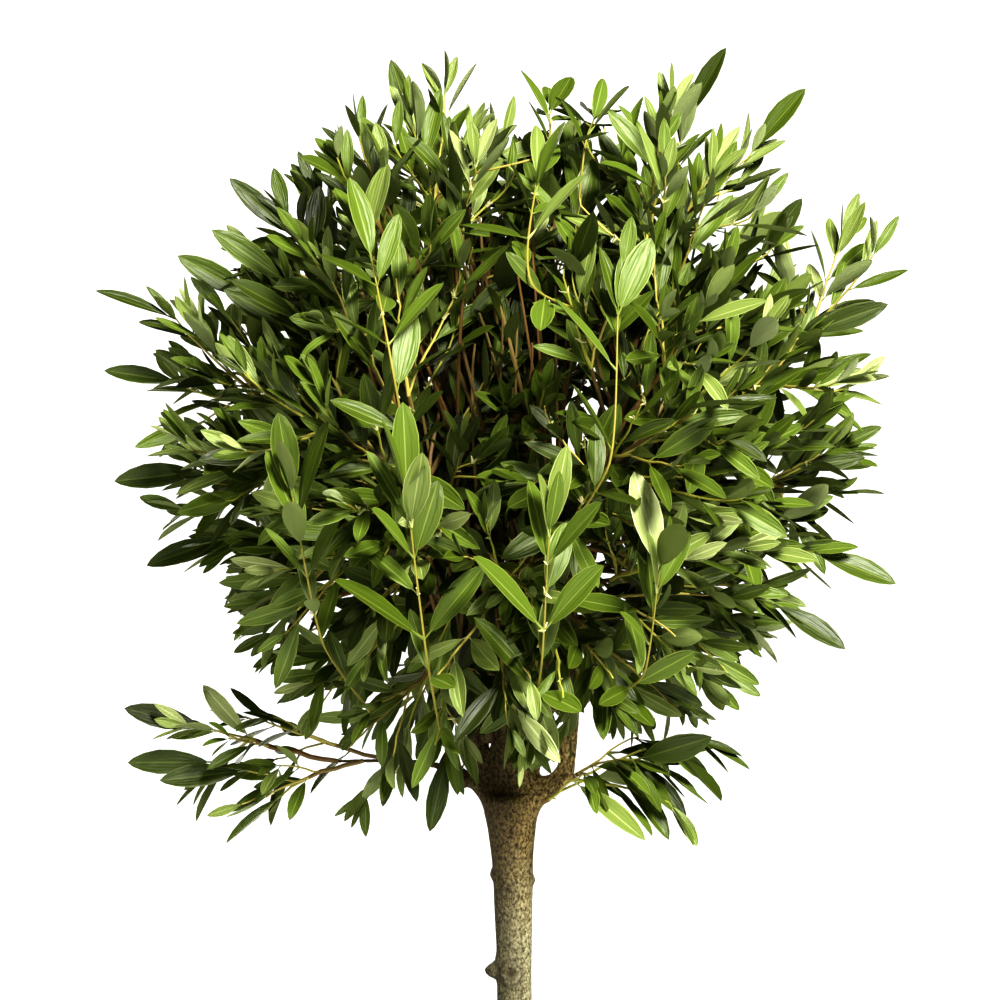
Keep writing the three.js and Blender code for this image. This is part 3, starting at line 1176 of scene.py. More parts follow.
    def part(self, places: np.ndarray, count: int) -> list[np.ndarray]:
        """Parts places into groups that lie together.

        Args:
            places: The places.
            count: How many groups.

        Returns:
            For each group, the numbers of its places.
        """
        if count >= len(places):
            return [np.array([i]) for i in range(len(places))]
        middles = places[self.spread(places, 0, np.array([], int))[:count]] if count > 1 else places[:1]
        for _ in range(PARTING_ROUNDS):
            owner = np.linalg.norm(places[:, None] - middles[None], axis=2).argmin(axis=1)
            groups = [places[owner == g] for g in range(count)]
            middles = np.array([g.mean(axis=0) if len(g) else m for g, m in zip(groups, middles)])
        return [np.flatnonzero(owner == g) for g in range(count) if (owner == g).any()]

    def grow(self) -> None:
        """Grows the whole mass: the main branches part at the bough's end."""
        ends, reach_out = self.tips()
        groups = self.part(ends, self.rule.mains)
        groups.sort(key=lambda group: -float((ends[group].mean(axis=0) - self.foot) @ self.leave))
        for number, group in enumerate(groups):
            foot = self.bough_at(number * self.rule.main_step)
            way = unit(ends[group].mean(axis=0) - foot)
            leave = unit(self.rule.main_keep * self.leave + way)
            self.grow_axis(foot, leave, ends[group], reach_out[group])

    def bough_at(self, back: float) -> np.ndarray:
        """Gives a place on the bough's middle line.

        Args:
            back: How far back from the bough's end it is.

        Returns:
            The place, which is the end where the bough is shorter than that.
        """
        from_end = np.linalg.norm(self.wood - self.foot, axis=1)
        band = self.wood[np.abs(from_end - back) < self.band]
        return band.mean(axis=0) if back > 0 and len(band) else self.foot

    def grow_axis(
        self, foot: np.ndarray, leave: np.ndarray, ends: np.ndarray, reach_out: np.ndarray
    ) -> None:
        """Grows one axis to the end that leads, and side axes to the others.

        Args:
            foot: Where the axis starts.
            leave: The direction in which it starts.
            ends: Where it and its side axes end.
            reach_out: For each end, the leaf tip that reaches out from it, or not-a-number.
        """
        rule = self.rule
        ahead = (ends - foot) @ leave + rule.lead_reach * np.linalg.norm(ends - foot, axis=1)
        leader = int(ahead.argmax())
        arrive = self.arrive_at(ends[leader], foot)
        points = curve_between(foot, leave, ends[leader], arrive, rule.pitch)
        points[1:-1] += self.rng.normal(0, rule.wobble, points[1:-1].shape)
        heading = tangents_along(points)
        others = np.delete(np.arange(len(ends)), leader)
        load = np.ones(len(points))
        if len(others):
            few = len(others) <= rule.few
            count = len(others) if few else max(2, round(len(others) / rule.group))
            for group in self.part(ends[others], count):
                members = others[group]
                start = self.parting(points, heading, ends[members].mean(axis=0))
                way = unit(ends[members].mean(axis=0) - points[start])
                side = unit(heading[start] + rule.side_turn * way)
                self.grow_axis(points[start], side, ends[members], reach_out[members])
                load[: start + 1] += len(members)
        run = lengths_along(points)
        grown = np.minimum((run[-1] - run) / rule.taper, 1)
        radii = (rule.tip_radius + (rule.shoot_radius - rule.tip_radius) * grown) * load**rule.load_power
        leaves_before = len(self.leaves)
        buds_before = len(self.buds)
        self.bear_leaves(points, heading, radii, reach_out[leader])
        if len(others) == 0 and len(self.leaves) - leaves_before < rule.least_leaves:
            del self.leaves[leaves_before:]
            del self.buds[buds_before:]
            return
        self.twigs.append(Twig(points, radii, int(self.rng.integers(TONE_DRAWS))))

    def parting(self, points: np.ndarray, heading: np.ndarray, goal: np.ndarray) -> int:
        """Finds where on its parent a side axis starts, so that it leaves at the branching angle.

        Args:
            points: The parent's points.
            heading: Its direction at each.
            goal: Where the side axis goes.

        Returns:
            The number of the point.
        """
        way = unit(goal - points)
        angle = np.degrees(np.arccos(np.clip(np.einsum("ij,ij->i", way, heading), -1, 1)))
        wrong = np.abs(angle - self.rule.branch_angle)
        last = max(2, int(len(points) * self.rule.last_parting))
        return int(wrong[1:last].argmin()) + 1

    def tone_for(self, place: np.ndarray, spray: float, fresh: float) -> int:
        """Deals a leaf its colour.

        Args:
            place: Where the leaf is.
            spray: The colour that its shoot leans to.
            fresh: From 0 at the foot of the shoot to 1 at its tip.

        Returns:
            The number of the tone.
        """
        outer = np.linalg.norm(place - self.crown_centre) / TONES.crown_radius
        # Partly painted light and shade: leaves deeper in the crown get darker tones, partly as older
        # leaves and partly as painted shade of the crown's inside, and those at the outside get clearer
        # ones.
        tone = spray + TONES.fresh * fresh + TONES.outer * (outer - TONES.outer_from)
        tone = tone + self.rng.normal(0, TONES.spread)
        return int(np.clip(round(tone), 0, len(LEAF_TONES) - 1))

    def bear_leaves(
        self, points: np.ndarray, heading: np.ndarray, radii: np.ndarray, reach_out: np.ndarray
    ) -> None:
        """Sets opposite pairs of leaves along the young part of an axis.

        Args:
            points: The axis.
            heading: Its direction at each point.
            radii: Its radius at each point.
            reach_out: The tip of a leaf that reaches out from its end, or not-a-number.
        """
        run = lengths_along(points)
        total = run[-1]
        spray = float(self.rng.normal(TONES.spray, TONES.spray_spread))
        spray = spray + (TONES.hanging if self.hangs else 0)
        spray = TONES.bold if self.boldness > 1 else spray
        across = unit(np.cross(heading[-1], self.rng.normal(size=3)))
        back = BLADES.first
        pair = 0
        while back < min(BLADES.leafy_length, total - BLADES.bare_foot):
            at = total - back
            place = np.array([np.interp(at, run, points[:, k]) for k in range(3)])
            along = unit(np.array([np.interp(at, run, heading[:, k]) for k in range(3)]))
            if np.interp(at, run, radii) > BLADES.leafy_radius:
                break
            share = back / BLADES.leafy_length
            across = unit(across - along * (across @ along))
            turn = math.radians(90 + self.rng.normal(0, BLADES.turn_spread))
            across = math.cos(turn) * across + math.sin(turn) * np.cross(along, across)
            opened = min(1, share * BLADES.angle_turns)
            opening = BLADES.angle_high + (BLADES.angle_low - BLADES.angle_high) * opened
            grown = min(1, back / BLADES.grown_after) if self.boldness == 1 else 1.0
            size = BLADES.young_size + (1 - BLADES.young_size) * grown
            for sign in (1, -1):
                if self.rng.random() < BLADES.missing and pair > 1:
                    continue
                self.add_leaf(place, along, sign * across, opening, size, spray, 1 - share)
            if pair > 0 and self.rng.random() < BLADES.bud_share:
                bud_size = self.rng.uniform(BLADES.bud_least, BLADES.bud_most) * MM
                self.buds.append((place, unit(along + BLADES.bud_opening * across), bud_size))
            lengthened = min(1, share * BLADES.internode_turns)
            step = BLADES.internode_high + (BLADES.internode_low - BLADES.internode_high) * lengthened
            back += self.boldness * (BLADES.hanging_internode if self.hangs else 1) * step
            back += self.rng.normal(0, BLADES.internode_spread)
            pair += 1
        if not np.isnan(reach_out[0]):
            self.reach_leaf(points[-1], reach_out, spray)
        else:
            end = (across, BLADES.end_angle, BLADES.end_size, spray, 1.0)
            self.add_leaf(points[-1], heading[-1], *end)

    def add_leaf(
        self,
        place: np.ndarray,
        along: np.ndarray,
        across: np.ndarray,
        opening: float,
        size: float,
        spray: float,
        fresh: float,
    ) -> None:
        """Adds one leaf.

        Args:
            place: Where its stalk leaves the shoot.
            along: The shoot's direction there.
            across: The side on which the leaf stands.
            opening: Degrees between the leaf and the shoot.
            size: The leaf's size against a full-grown one.
            spray: The colour that its shoot leans to.
            fresh: From 0 at the foot of the shoot to 1 at its tip.
        """
        bold = self.boldness > 1
        angle = math.radians(opening + self.rng.normal(0, BLADES.angle_spread))
        axis = unit(math.cos(angle) * along + math.sin(angle) * across)
        sag = self.habit.sag if self.hangs else 0.0
        axis = unit(axis + self.rng.normal(0, BLADES.stray, 3) - sag * UP)
        pull = BLADES.light_pull + BLADES.bold_pull * (self.boldness - 1)
        at_back = place[1] >= self.crown_centre[1] + BLADES.back_light
        light = LIGHT_WAY * (1, -1, 1) if at_back else LIGHT_WAY
        looks = BLADES.face_along * along - BLADES.face_shoot * across + BLADES.face_up * UP
        looks = looks + BLADES.face_out * self.outward(place) + pull * light
        looks = looks + self.rng.normal(0, BLADES.facing_spread, 3)
        face = unit(looks - axis * (looks @ axis))
        size = size * self.boldness * (self.habit.leaf_size if self.hangs else 1.0)
        length = size * max(BLADES.shortest, self.rng.normal(BLADES.length, BLADES.spread))
        width = length / (BLADES.aspect * self.rng.uniform(BLADES.stouter, BLADES.slimmer))
        width = width * (BLADES.bold_width if bold else 1)
        tone = self.tone_for(place, spray, fresh)
        shape = len(LEAF_SHAPES) - 1 if bold else int(self.rng.integers(len(LEAF_SHAPES) - 1))
        tip = place + length * axis
        clear = in_fork(place) or in_fork(tip)
        opened = not bold and WINDOW.opens_at(tip, self.crown_centre)
        clear = clear or (opened and self.rng.random() > WINDOW.kept)
        if self.outline.holds(tip) and not clear:
            self.leaves.append(LeafPlace(place, axis, face, length, width, shape, tone))

    def reach_leaf(self, foot: np.ndarray, tip: np.ndarray, spray: float) -> None:
        """Adds the long leaf that reaches out to a tip of the outline.

        Args:
            foot: Where its stalk leaves the shoot.
            tip: Where its tip is.
            spray: The colour that its shoot leans to.
        """
        axis = unit(tip - foot)
        looks = BLADES.reach_up * UP + BLADES.reach_front * np.array([0, -1.0, 0])
        looks = looks + self.rng.normal(0, BLADES.reach_spread, 3)
        face = unit(looks - axis * (looks @ axis))
        length = float(np.linalg.norm(tip - foot))
        width = length / self.rng.uniform(BLADES.reach_stout, BLADES.reach_slim)
        tone = self.tone_for(tip, spray, TONES.reach_fresh)
        self.leaves.append(LeafPlace(foot, axis, face, length, width, 0, tone))

    def raise_sprig(self, sprig: "FrontSprig") -> None:
        """Grows a tall shoot with large leaves up the front of the crown.

        Args:
            sprig: Where it stands.
        """
        foot, tip = sprig.line(self.crown_centre)
        rise = unit(tip - foot)
        wood = np.concatenate([twig.points for twig in self.twigs])
        source = foot + sprig.deep * (np.array([0, 1, 0]) - sprig.below * rise)
        start = wood[np.linalg.norm(wood - source, axis=1).argmin()]
        out = unit(foot - start)
        low = curve_between(start, out, foot, unit(rise + out), self.rule.pitch)
        high = curve_between(foot, unit(rise + out), tip, rise, self.rule.pitch)
        points = np.concatenate([low[:-1], high])
        heading = tangents_along(points)
        run = lengths_along(points)
        grown = np.minimum((run[-1] - run) / sprig.taper, 1)
        radii = self.rule.tip_radius + grown * (sprig.radius - self.rule.tip_radius)
        self.boldness = sprig.boldness
        self.bear_leaves(points, heading, radii, np.full(3, np.nan))
        self.boldness = 1.0
        self.twigs.append(Twig(points, radii, sprig.tone))


LEAF_SHAPES = (
    LeafShape(lift=0.03, droop=0.06, turn=0),
    LeafShape(lift=0.12, droop=0.2, turn=14),
    LeafShape(lift=0.06, droop=0.16, turn=-18, fold=0.3),
    LeafShape(lift=-0.08, droop=-0.12, turn=8, fold=0.12),
    LeafShape(lift=0.08, droop=0.12, turn=-6, fold=0.16, slim=0.6),
)


@dataclass(frozen=True)
class CrownWindow:
    """The thin place in the front of the crown, through which the shaded limbs show."""

    beside: float = -34 * MM        # from the crown's middle
    above: float = 40 * MM
    radius: float = 84 * MM
    depth: float = 85 * MM
    front: float = 250 * MM         # the crown's radius to the front
    kept: float = 0.25              # share of the leaves that still stand in it

    def sunk(self, place: np.ndarray, middle: np.ndarray) -> float:
        """Gives how far the foliage is sunk in front of or behind a place.

        Args:
            place: The place.
            middle: The crown's middle.

        Returns:
            The depth, none outside the window or behind the crown's middle.
        """
        away = np.hypot(place[0] - middle[0] - self.beside, place[2] - middle[2] - self.above)
        if place[1] > 0 or away > self.radius:
            return 0.0
        return float(self.depth * (1 - (away / self.radius) ** 2))

    def pull_in(self, place: np.ndarray, middle: np.ndarray) -> np.ndarray:
        """Moves a shoot's end back into the crown if it stands in the window."""
        return place + np.array([0, self.sunk(place, middle), 0])

    def opens_at(self, place: np.ndarray, middle: np.ndarray) -> bool:
        """Says whether a place is in the sunk part of the window.

        Args:
            place: The place.
            middle: The crown's middle.

        Returns:
            Whether it is.
        """
        sunk = self.sunk(place, middle)
        away = np.hypot(place[0] - middle[0], place[2] - middle[2])
        surface = -math.sqrt(max(self.front**2 - away**2, 0))
        return sunk > 0 and place[1] < surface + sunk


WINDOW = CrownWindow()


@dataclass(frozen=True)
class FrontSprig:
    """A long young shoot that stands free before the crown. Places are from the crown's middle."""

    foot_beside: float
    foot_above: float
    tip_beside: float
    tip_above: float
    boldness: float = 1.22
    front: float = 238 * MM         # the crown's radius to the front
    clearance: float = 26 * MM      # how near another leaf may hang before it
    deep: float = 42 * MM           # how deep in the crown it starts
    below: float = 1.2              # and how far below its foot, against that depth
    past_tip: float = 1.25          # its leaves end so much further up than its shoot
    behind: float = 0.8             # how far behind it the clearance goes
    radius: float = 0.9 * MM
    taper: float = 120 * MM         # over which its tip thins
    tone: int = 2                   # its bark's number among the shoots'

    def at_front(self, middle: np.ndarray, beside: float, above: float) -> np.ndarray:
        """Gives the place on the front of the crown at a distance beside and above its middle.

        Args:
            middle: The crown's middle.
            beside: How far to the right of it.
            above: How far above it.

        Returns:
            The place.
        """
        depth = math.sqrt(max(self.front**2 - beside**2 - above**2, 0))
        return middle + np.array([beside, -depth, above])

    def line(self, middle: np.ndarray) -> tuple[np.ndarray, np.ndarray]:
        """Gives the places of the foot and the tip.

        Args:
            middle: The crown's middle.

        Returns:
            The foot, and the tip.
        """
        foot = self.at_front(middle, self.foot_beside, self.foot_above)
        return foot, self.at_front(middle, self.tip_beside, self.tip_above)

    def hidden_by(self, leaf: LeafPlace, middle: np.ndarray) -> bool:
        """Says whether a leaf hangs in front of the sprig.

        Args:
            leaf: The leaf.
            middle: The crown's middle.

        Returns:
            Whether its middle is close before the sprig's line.
        """
        foot, tip = self.line(middle)
        place = leaf.foot + 0.5 * leaf.length * leaf.axis
        along = tip - foot
        share = float(np.clip((place - foot) @ along / (along @ along), 0, self.past_tip))
        nearest = foot + share * along
        away = math.hypot(place[0] - nearest[0], place[2] - nearest[2])
        return away < self.clearance and place[1] < nearest[1] + self.behind * self.clearance


FRONT_SPRIGS = (
    FrontSprig(16 * MM, 186 * MM, 26 * MM, 232 * MM, 1.02, 240 * MM),
    FrontSprig(48 * MM, 190 * MM, 58 * MM, 226 * MM, 1.02, 238 * MM),
    FrontSprig(12 * MM, 96 * MM, 16 * MM, 172 * MM, 1.06),
    FrontSprig(-57 * MM, -150 * MM, -69 * MM, -42 * MM),
    FrontSprig(19 * MM, -150 * MM, 23 * MM, -66 * MM),
    FrontSprig(-128 * MM, -140 * MM, -146 * MM, -40 * MM, 1.08),
    FrontSprig(88 * MM, -160 * MM, 96 * MM, -88 * MM, 1.12),
    FrontSprig(62 * MM, -20 * MM, 68 * MM, 78 * MM, 1.1),
    FrontSprig(-78 * MM, 40 * MM, -96 * MM, 128 * MM, 1.1),
)


@dataclass
class Canes:
    """Long bare stems that rise steeply from the boughs through the shaded middle of the crown."""

    count: int = 76
    lowest: float = 20 * MM         # where they start, above the fork
    highest: float = 110 * MM
    thick: float = 2.1 * MM
    thin: float = 1.0 * MM
    rearmost: float = 45 * MM       # no cane starts further back
    spread: float = 45 * MM         # to both sides at their ends
    front: float = -150             # millimetres, between which they end
    back: float = -30
    low_end: float = 60             # millimetres above the crown's middle
    high_end: float = 165
    rise: float = 1.2               # how steeply they start
    lean: float = 0.5
    sway: float = 0.15
    slightest: float = 0.7          # against the radii above
    stoutest: float = 1.15

    def grow(
        self, middle: np.ndarray, wood: np.ndarray, rng: np.random.Generator, pitch: float
    ) -> list[Twig]:
        """Grows the canes.

        Args:
            middle: The crown's middle.
            wood: The boughs' vertices.
            rng: The source of chance.
            pitch: How far apart a cane's points are.

        Returns:
            The canes.
        """
        above = wood[:, 2] - FORK_TOP
        starts = wood[(above > self.lowest) & (above < self.highest) & (wood[:, 1] < self.rearmost)]
        canes = []
        for _ in range(self.count):
            start = starts[rng.integers(len(starts))]
            beside = middle[0] + WINDOW.beside + rng.normal(0, self.spread)
            forward = rng.uniform(self.front, self.back) * MM
            end = np.array([beside, forward, middle[2] + rng.uniform(self.low_end, self.high_end) * MM])
            side = self.lean * unit((end - start) * (1, 1, 0))
            arrive = unit(UP + side + rng.normal(0, self.sway, 3))
            points = curve_between(start, unit(self.rise * UP + side), end, arrive, pitch)
            stoutness = rng.uniform(self.slightest, self.stoutest)
            radii = np.linspace(self.thick, self.thin, len(points)) * stoutness
            canes.append(Twig(points, radii, int(rng.integers(TONE_DRAWS)), brown=True))
        return canes


def in_fork(place: np.ndarray) -> bool:
    """Says whether a place is in the clear space round the stem and its fork."""
    return bool(place[2] < FORK_TOP and math.hypot(place[0], place[1]) < FORK_CLEAR)


def node_places(name: str) -> np.ndarray:
    """Gives the places of a frame node's vertices, each once.

    Args:
        name: The node.

    Returns:
        The places, one in a row.
    """
    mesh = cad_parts[name].data
    places = np.zeros(len(mesh.vertices) * 3)
    mesh.vertices.foreach_get("co", places)
    return np.unique(np.round(places.reshape(-1, 3), 6), axis=0)


# ---- Sub-assemblies ----

@dataclass
class Knot:
    """The scar of a cut side shoot on the stem."""

    height: float                   # above the ground
    turn: float                     # degrees, 0 to the right and 90 behind
    size: float                     # its radius
    stands: float = 0.0             # a stub's length


@dataclass
class BarkSkin:
    """One skin over the stem and all boughs, with olive bark's relief."""

    voxel: float = 1.4 * MM
    fillet_voxel: float = 1.75 * MM
    joining: float = 0.7 * MM       # fills the narrow gaps between the frame's limbs
    kept_joining: float = 0.15      # the share of it that isn't taken off again
    fillet: float = 6.5 * MM        # fills the crotches where limbs part
    rounding: int = 5
    fork_rounding: int = 45         # wears the stem's rim under the boughs smooth
    fork_above: float = 2 * MM      # how far above the stem's top the worn stretch has its middle
    fork_height: float = 20 * MM    # half the height of the stretch
    fork_width: float = 36 * MM
    ripple: float = 0.45 * MM       # long upright swellings
    ripple_width: float = 7 * MM
    ripple_length: float = 34 * MM
    grain: float = 0.3 * MM         # fine upright splits
    grain_width: float = 3.2 * MM
    grain_length: float = 12 * MM
    split_share: float = 5.0        # the higher, the narrower the splits
    scar_share: float = 2.2         # and their dark lips
    scar_depth: float = 0.35
    full_relief: float = 12 * MM    # the relief is full so far from the stem's middle line
    least_relief: float = 0.35
    flare: float = 4.6 * MM         # how far the stem widens under the fork
    flare_below: float = 58 * MM
    flare_above: float = 16 * MM
    flare_radius: float = 14 * MM   # the stem's radius there
    swell: float = 2.6 * MM         # how much thicker the boughs start
    swell_reach: float = 42 * MM
    swell_height: float = 0.4       # how far above the fork its middle is, against its reach
    knot_stretch: float = 10 * MM   # half the stretch of stem that shows its middle line at a knot
    knot_limit: float = 30 * MM
    knots: tuple[Knot, ...] = (
        Knot(453 * MM, -97, 7 * MM),
        Knot(454 * MM, 178, 6 * MM, 6 * MM),
        Knot(513 * MM, -107, 4.5 * MM),
        Knot(523 * MM, 176, 5 * MM, 2.6 * MM),
        Knot(519 * MM, 4, 4.5 * MM, 2.2 * MM),
        Knot(330 * MM, 64, 5 * MM),
        Knot(226 * MM, -150, 5.5 * MM),
        Knot(122 * MM, 25, 5 * MM),
        Knot(372 * MM, -60, 3.5 * MM),
    )

    def limbs(self) -> list[str]:
        """Names the frame nodes under the skin."""
        return [STEM] + sorted(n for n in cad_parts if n.startswith(BOUGH_MARK))

    def shell(self) -> bpy.types.Object:
        """Joins copies of the limbs and closes them into one rounded skin.

        Returns:
            The skin.
        """
        copies = []
        for name in self.limbs():
            copy = bpy.data.objects.new(f"copy_{name}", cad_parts[name].data.copy())
            bpy.context.scene.collection.objects.link(copy)
            copies.append(copy)
        skin = join(copies)
        bpy.ops.object.mode_set(mode="EDIT")
        bpy.ops.mesh.select_all(action="SELECT")
        bpy.ops.mesh.remove_doubles(threshold=0.01 * MM)
        bpy.ops.object.mode_set(mode="OBJECT")
        apply_modifier(skin, "DISPLACE", strength=self.joining, mid_level=0.0)
        apply_modifier(skin, "REMESH", mode="VOXEL", voxel_size=self.voxel)
        apply_modifier(skin, "SMOOTH", factor=0.5, iterations=self.rounding)
        apply_modifier(skin, "DISPLACE", strength=self.fillet, mid_level=0.0)
        apply_modifier(skin, "REMESH", mode="VOXEL", voxel_size=self.fillet_voxel)
        apply_modifier(skin, "SMOOTH", factor=0.5, iterations=self.rounding)
        back = (1 - self.kept_joining) * self.joining + self.fillet
        apply_modifier(skin, "DISPLACE", strength=-back, mid_level=0.0)
        apply_modifier(skin, "REMESH", mode="VOXEL", voxel_size=self.voxel)
        places, normals = self.vertices(skin)
        skin.data.vertices.foreach_set("co", (places + self.widened(places, normals)).ravel())
        bpy.ops.object.mode_set(mode="EDIT")
        pick(skin, self.at_fork)
        bpy.ops.mesh.vertices_smooth(factor=0.5, repeat=self.fork_rounding)
        bpy.ops.object.mode_set(mode="OBJECT")
        return skin

    def at_fork(self, place: Vector) -> bool:
        """Says whether a place is on the stretch of the fork that is worn smooth."""
        near = abs(place.z - STEM_TOP - self.fork_above) < self.fork_height
        return near and math.hypot(place.x, place.y) < self.fork_width

    def vertices(self, skin: bpy.types.Object) -> tuple[np.ndarray, np.ndarray]:
        """Reads the skin's vertices.

        Args:
            skin: The skin.

        Returns:
            Their places, and their normals.
        """
        places = np.zeros(len(skin.data.vertices) * 3)
        normals = np.zeros(len(skin.data.vertices) * 3)
        skin.data.vertices.foreach_get("co", places)
        skin.data.vertices.foreach_get("normal", normals)
        return places.reshape(-1, 3), normals.reshape(-1, 3)

    def carve(self, skin: bpy.types.Object) -> None:
        """Raises the bark's relief and the knots, and writes the scar attribute.

        Args:
            skin: The smooth skin.
        """
        mesh = skin.data
        places, normals = self.vertices(skin)
        wide = places / (self.ripple_width, self.ripple_width, self.ripple_length)
        fine = places / (self.grain_width, self.grain_width, self.grain_length)
        ripple = np.array([noise.noise(p) for p in wide])
        splits = np.array([noise.noise(p) for p in fine])
        height = self.ripple * ripple - self.grain * np.clip(1 - np.abs(splits) * self.split_share, 0, 1)
        limb = np.hypot(places[:, 0], places[:, 1])
        height = height * np.clip(limb / self.full_relief, self.least_relief, 1)
        scar = np.clip(self.scar_depth - np.abs(splits) * self.scar_share, 0, 1)
        for knot in self.knots:
            ring, dark = self.knot_at(knot, places)
            height = height + ring
            scar = np.maximum(scar, dark)
        places = places + normals * height[:, None]
        places[:, 2] = np.maximum(places[:, 2], 0)
        mesh.vertices.foreach_set("co", places.ravel())
        attribute = mesh.attributes.new("scar", "FLOAT", "POINT")
        attribute.data.foreach_set("value", scar.astype(np.float32))
        mesh.update()

    def widened(self, places: np.ndarray, normals: np.ndarray) -> np.ndarray:
        """Widens the stem under the fork and the boughs above it.

        Args:
            places: The skin's vertices.
            normals: Their normals.

        Returns:
            How each vertex moves.
        """
        fork = np.array([0, 0, STEM_TOP])
        above = places[:, 2] - fork[2]
        low = np.clip(1 + above / self.flare_below, 0, 1)
        high = np.clip(1 - above / self.flare_above, 0, 1)
        share = np.where(above < 0, low, high)
        share = share**2 * (3 - 2 * share)
        side = places * (1, 1, 0)
        radius = np.maximum(np.linalg.norm(side, axis=1), TINY)
        flare = self.flare * share[:, None] * side / self.flare_radius
        flare = flare * np.minimum(1, self.flare_radius / radius)[:, None]
        middle = fork + (0, 0, self.swell_height * self.swell_reach)
        away = np.linalg.norm(places - middle, axis=1) / self.swell_reach
        return flare + normals * (self.swell * np.exp(-(away**2)) * (above > 0))[:, None]

    def knot_at(self, knot: Knot, places: np.ndarray) -> tuple[np.ndarray, np.ndarray]:
        """Shapes one knot: a raised lip round a sunken, dark eye, with a darker ring outside the lip.

        Args:
            knot: The knot.
            places: The skin's vertices.

        Returns:
            How far each vertex is raised, and how dark it is.
        """
        turn = math.radians(knot.turn)
        ring = places[np.abs(places[:, 2] - knot.height) < self.knot_stretch]
        axis = ring[np.hypot(ring[:, 0], ring[:, 1]) < self.knot_limit].mean(axis=0)
        facing = (places[:, 0] - axis[0]) * math.cos(turn) + (places[:, 1] - axis[1]) * math.sin(turn)
        beside = -(places[:, 0] - axis[0]) * math.sin(turn) + (places[:, 1] - axis[1]) * math.cos(turn)
        up = places[:, 2] - knot.height
        away = np.hypot(beside, up * 0.85) / knot.size
        front = facing > 0
        # The lip is highest at 0.85 of the knot's radius, and the eye sinks within 0.42 of it.
        lip = 0.2 * np.exp(-(((away - 0.85) / 0.28) ** 2)) - 0.26 * np.exp(-((away / 0.42) ** 2))
        raised = np.clip(1 - away, 0, 1) * knot.stands if knot.stands else lip * knot.size
        dark = np.exp(-((away / 0.55) ** 2)) + 0.5 * np.exp(-(((away - 1.15) / 0.25) ** 2))
        return np.where(front, raised, 0), np.where(front, np.clip(dark, 0, 1), 0)

    def build(self) -> bpy.types.Object:
        """Builds and dresses the skin.

        Returns:
            The piece.
        """
        skin = self.shell()
        skin.name = "bark_skin"
        skin.data.name = "bark_skin"
        self.carve(skin)
        skin.data.materials.clear()
        skin.data.materials.append(BarkFinish().material())
        take(skin)
        bpy.ops.object.shade_smooth()
        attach(skin, BODY)
        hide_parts(*self.limbs())
        return skin


@dataclass
class TwigWork:
    """The grown wood in the crown as tapered tubes."""

    sides: int = 5
    crease: float = 70              # degrees; the ends of the tubes are sharp

    def tube(self, points: np.ndarray, radii: np.ndarray) -> tuple[Pattern, np.ndarray]:
        """Lays a closed tube along a line.

        Args:
            points: The line.
            radii: The tube's radius at each point.

        Returns:
            The tube's faces and map, and its vertices.
        """
        sides = self.sides
        heading = tangents_along(points)
        side = unit(np.cross(heading[0], [0.31, 0.57, 0.76]))
        turns = np.linspace(0, 2 * math.pi, sides, endpoint=False)
        places = []
        for point, ahead, radius in zip(points, heading, radii):
            side = unit(side - ahead * (side @ ahead))
            other = np.cross(ahead, side)
            ring = np.cos(turns)[:, None] * side + np.sin(turns)[:, None] * other
            places.append(point + radius * ring)
        rows = len(points)
        i, j = np.meshgrid(np.arange(rows - 1), np.arange(sides), indexing="ij")
        k = (j + 1) % sides
        quads = np.stack([i * sides + j, i * sides + k, (i + 1) * sides + k, (i + 1) * sides + j], axis=-1)
        around = np.stack([j, j + 1, j + 1, j], axis=-1) / sides
        along = np.broadcast_to([MAP_EDGE, MAP_EDGE, 1 - MAP_EDGE, 1 - MAP_EDGE], around.shape)
        spots = np.stack([MAP_EDGE + (1 - 2 * MAP_EDGE) * around, along], axis=-1).reshape(-1, 2)
        foot = np.arange(sides)[::-1]
        top = (rows - 1) * sides + np.arange(sides)
        cap = np.stack([0.5 + 0.3 * np.cos(turns), 0.5 + 0.3 * np.sin(turns)], axis=-1)
        corners = np.concatenate([quads.reshape(-1), foot, top])
        sizes = np.concatenate([np.full((rows - 1) * sides, 4), [sides, sides]])
        spots = np.concatenate([spots, cap[::-1], cap])
        finish = np.zeros(len(sizes), int)
        placed = np.concatenate(places)
        return Pattern(placed, corners, sizes, spots, finish), placed

    def build(self, masses: list[FoliageMass], rule: GrowthRule) -> list[bpy.types.Object]:
        """Builds the brown branches and the green shoots.

        Args:
            masses: The grown masses.
            rule: The growth rule, which says where wood turns brown.

        Returns:
            The two pieces.
        """
        branches = Gathering()
        shoots = Gathering()
        for twig in (twig for mass in masses for twig in mass.twigs):
            brown = len(twig.radii) if twig.brown else int((twig.radii > rule.green_radius).sum())
            green = max(brown - 1, 0)
            stretches = (
                (branches, BRANCH_TONES, slice(0, brown)),
                (shoots, SHOOT_TONES, slice(green, len(twig.points))),
            )
            for gathering, tones, stretch in stretches:
                if stretch.stop - stretch.start > 1:
                    pattern, placed = self.tube(twig.points[stretch], twig.radii[stretch])
                    gathering.add(pattern, placed, np.full(len(pattern.sizes), twig.tone % len(tones)))
        wood = branches.make("branches", [t.material() for t in BRANCH_TONES], self.crease)
        young = shoots.make("shoots", [t.material() for t in SHOOT_TONES], self.crease)
        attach(wood, BODY)
        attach(young, BODY)
        return [wood, young]


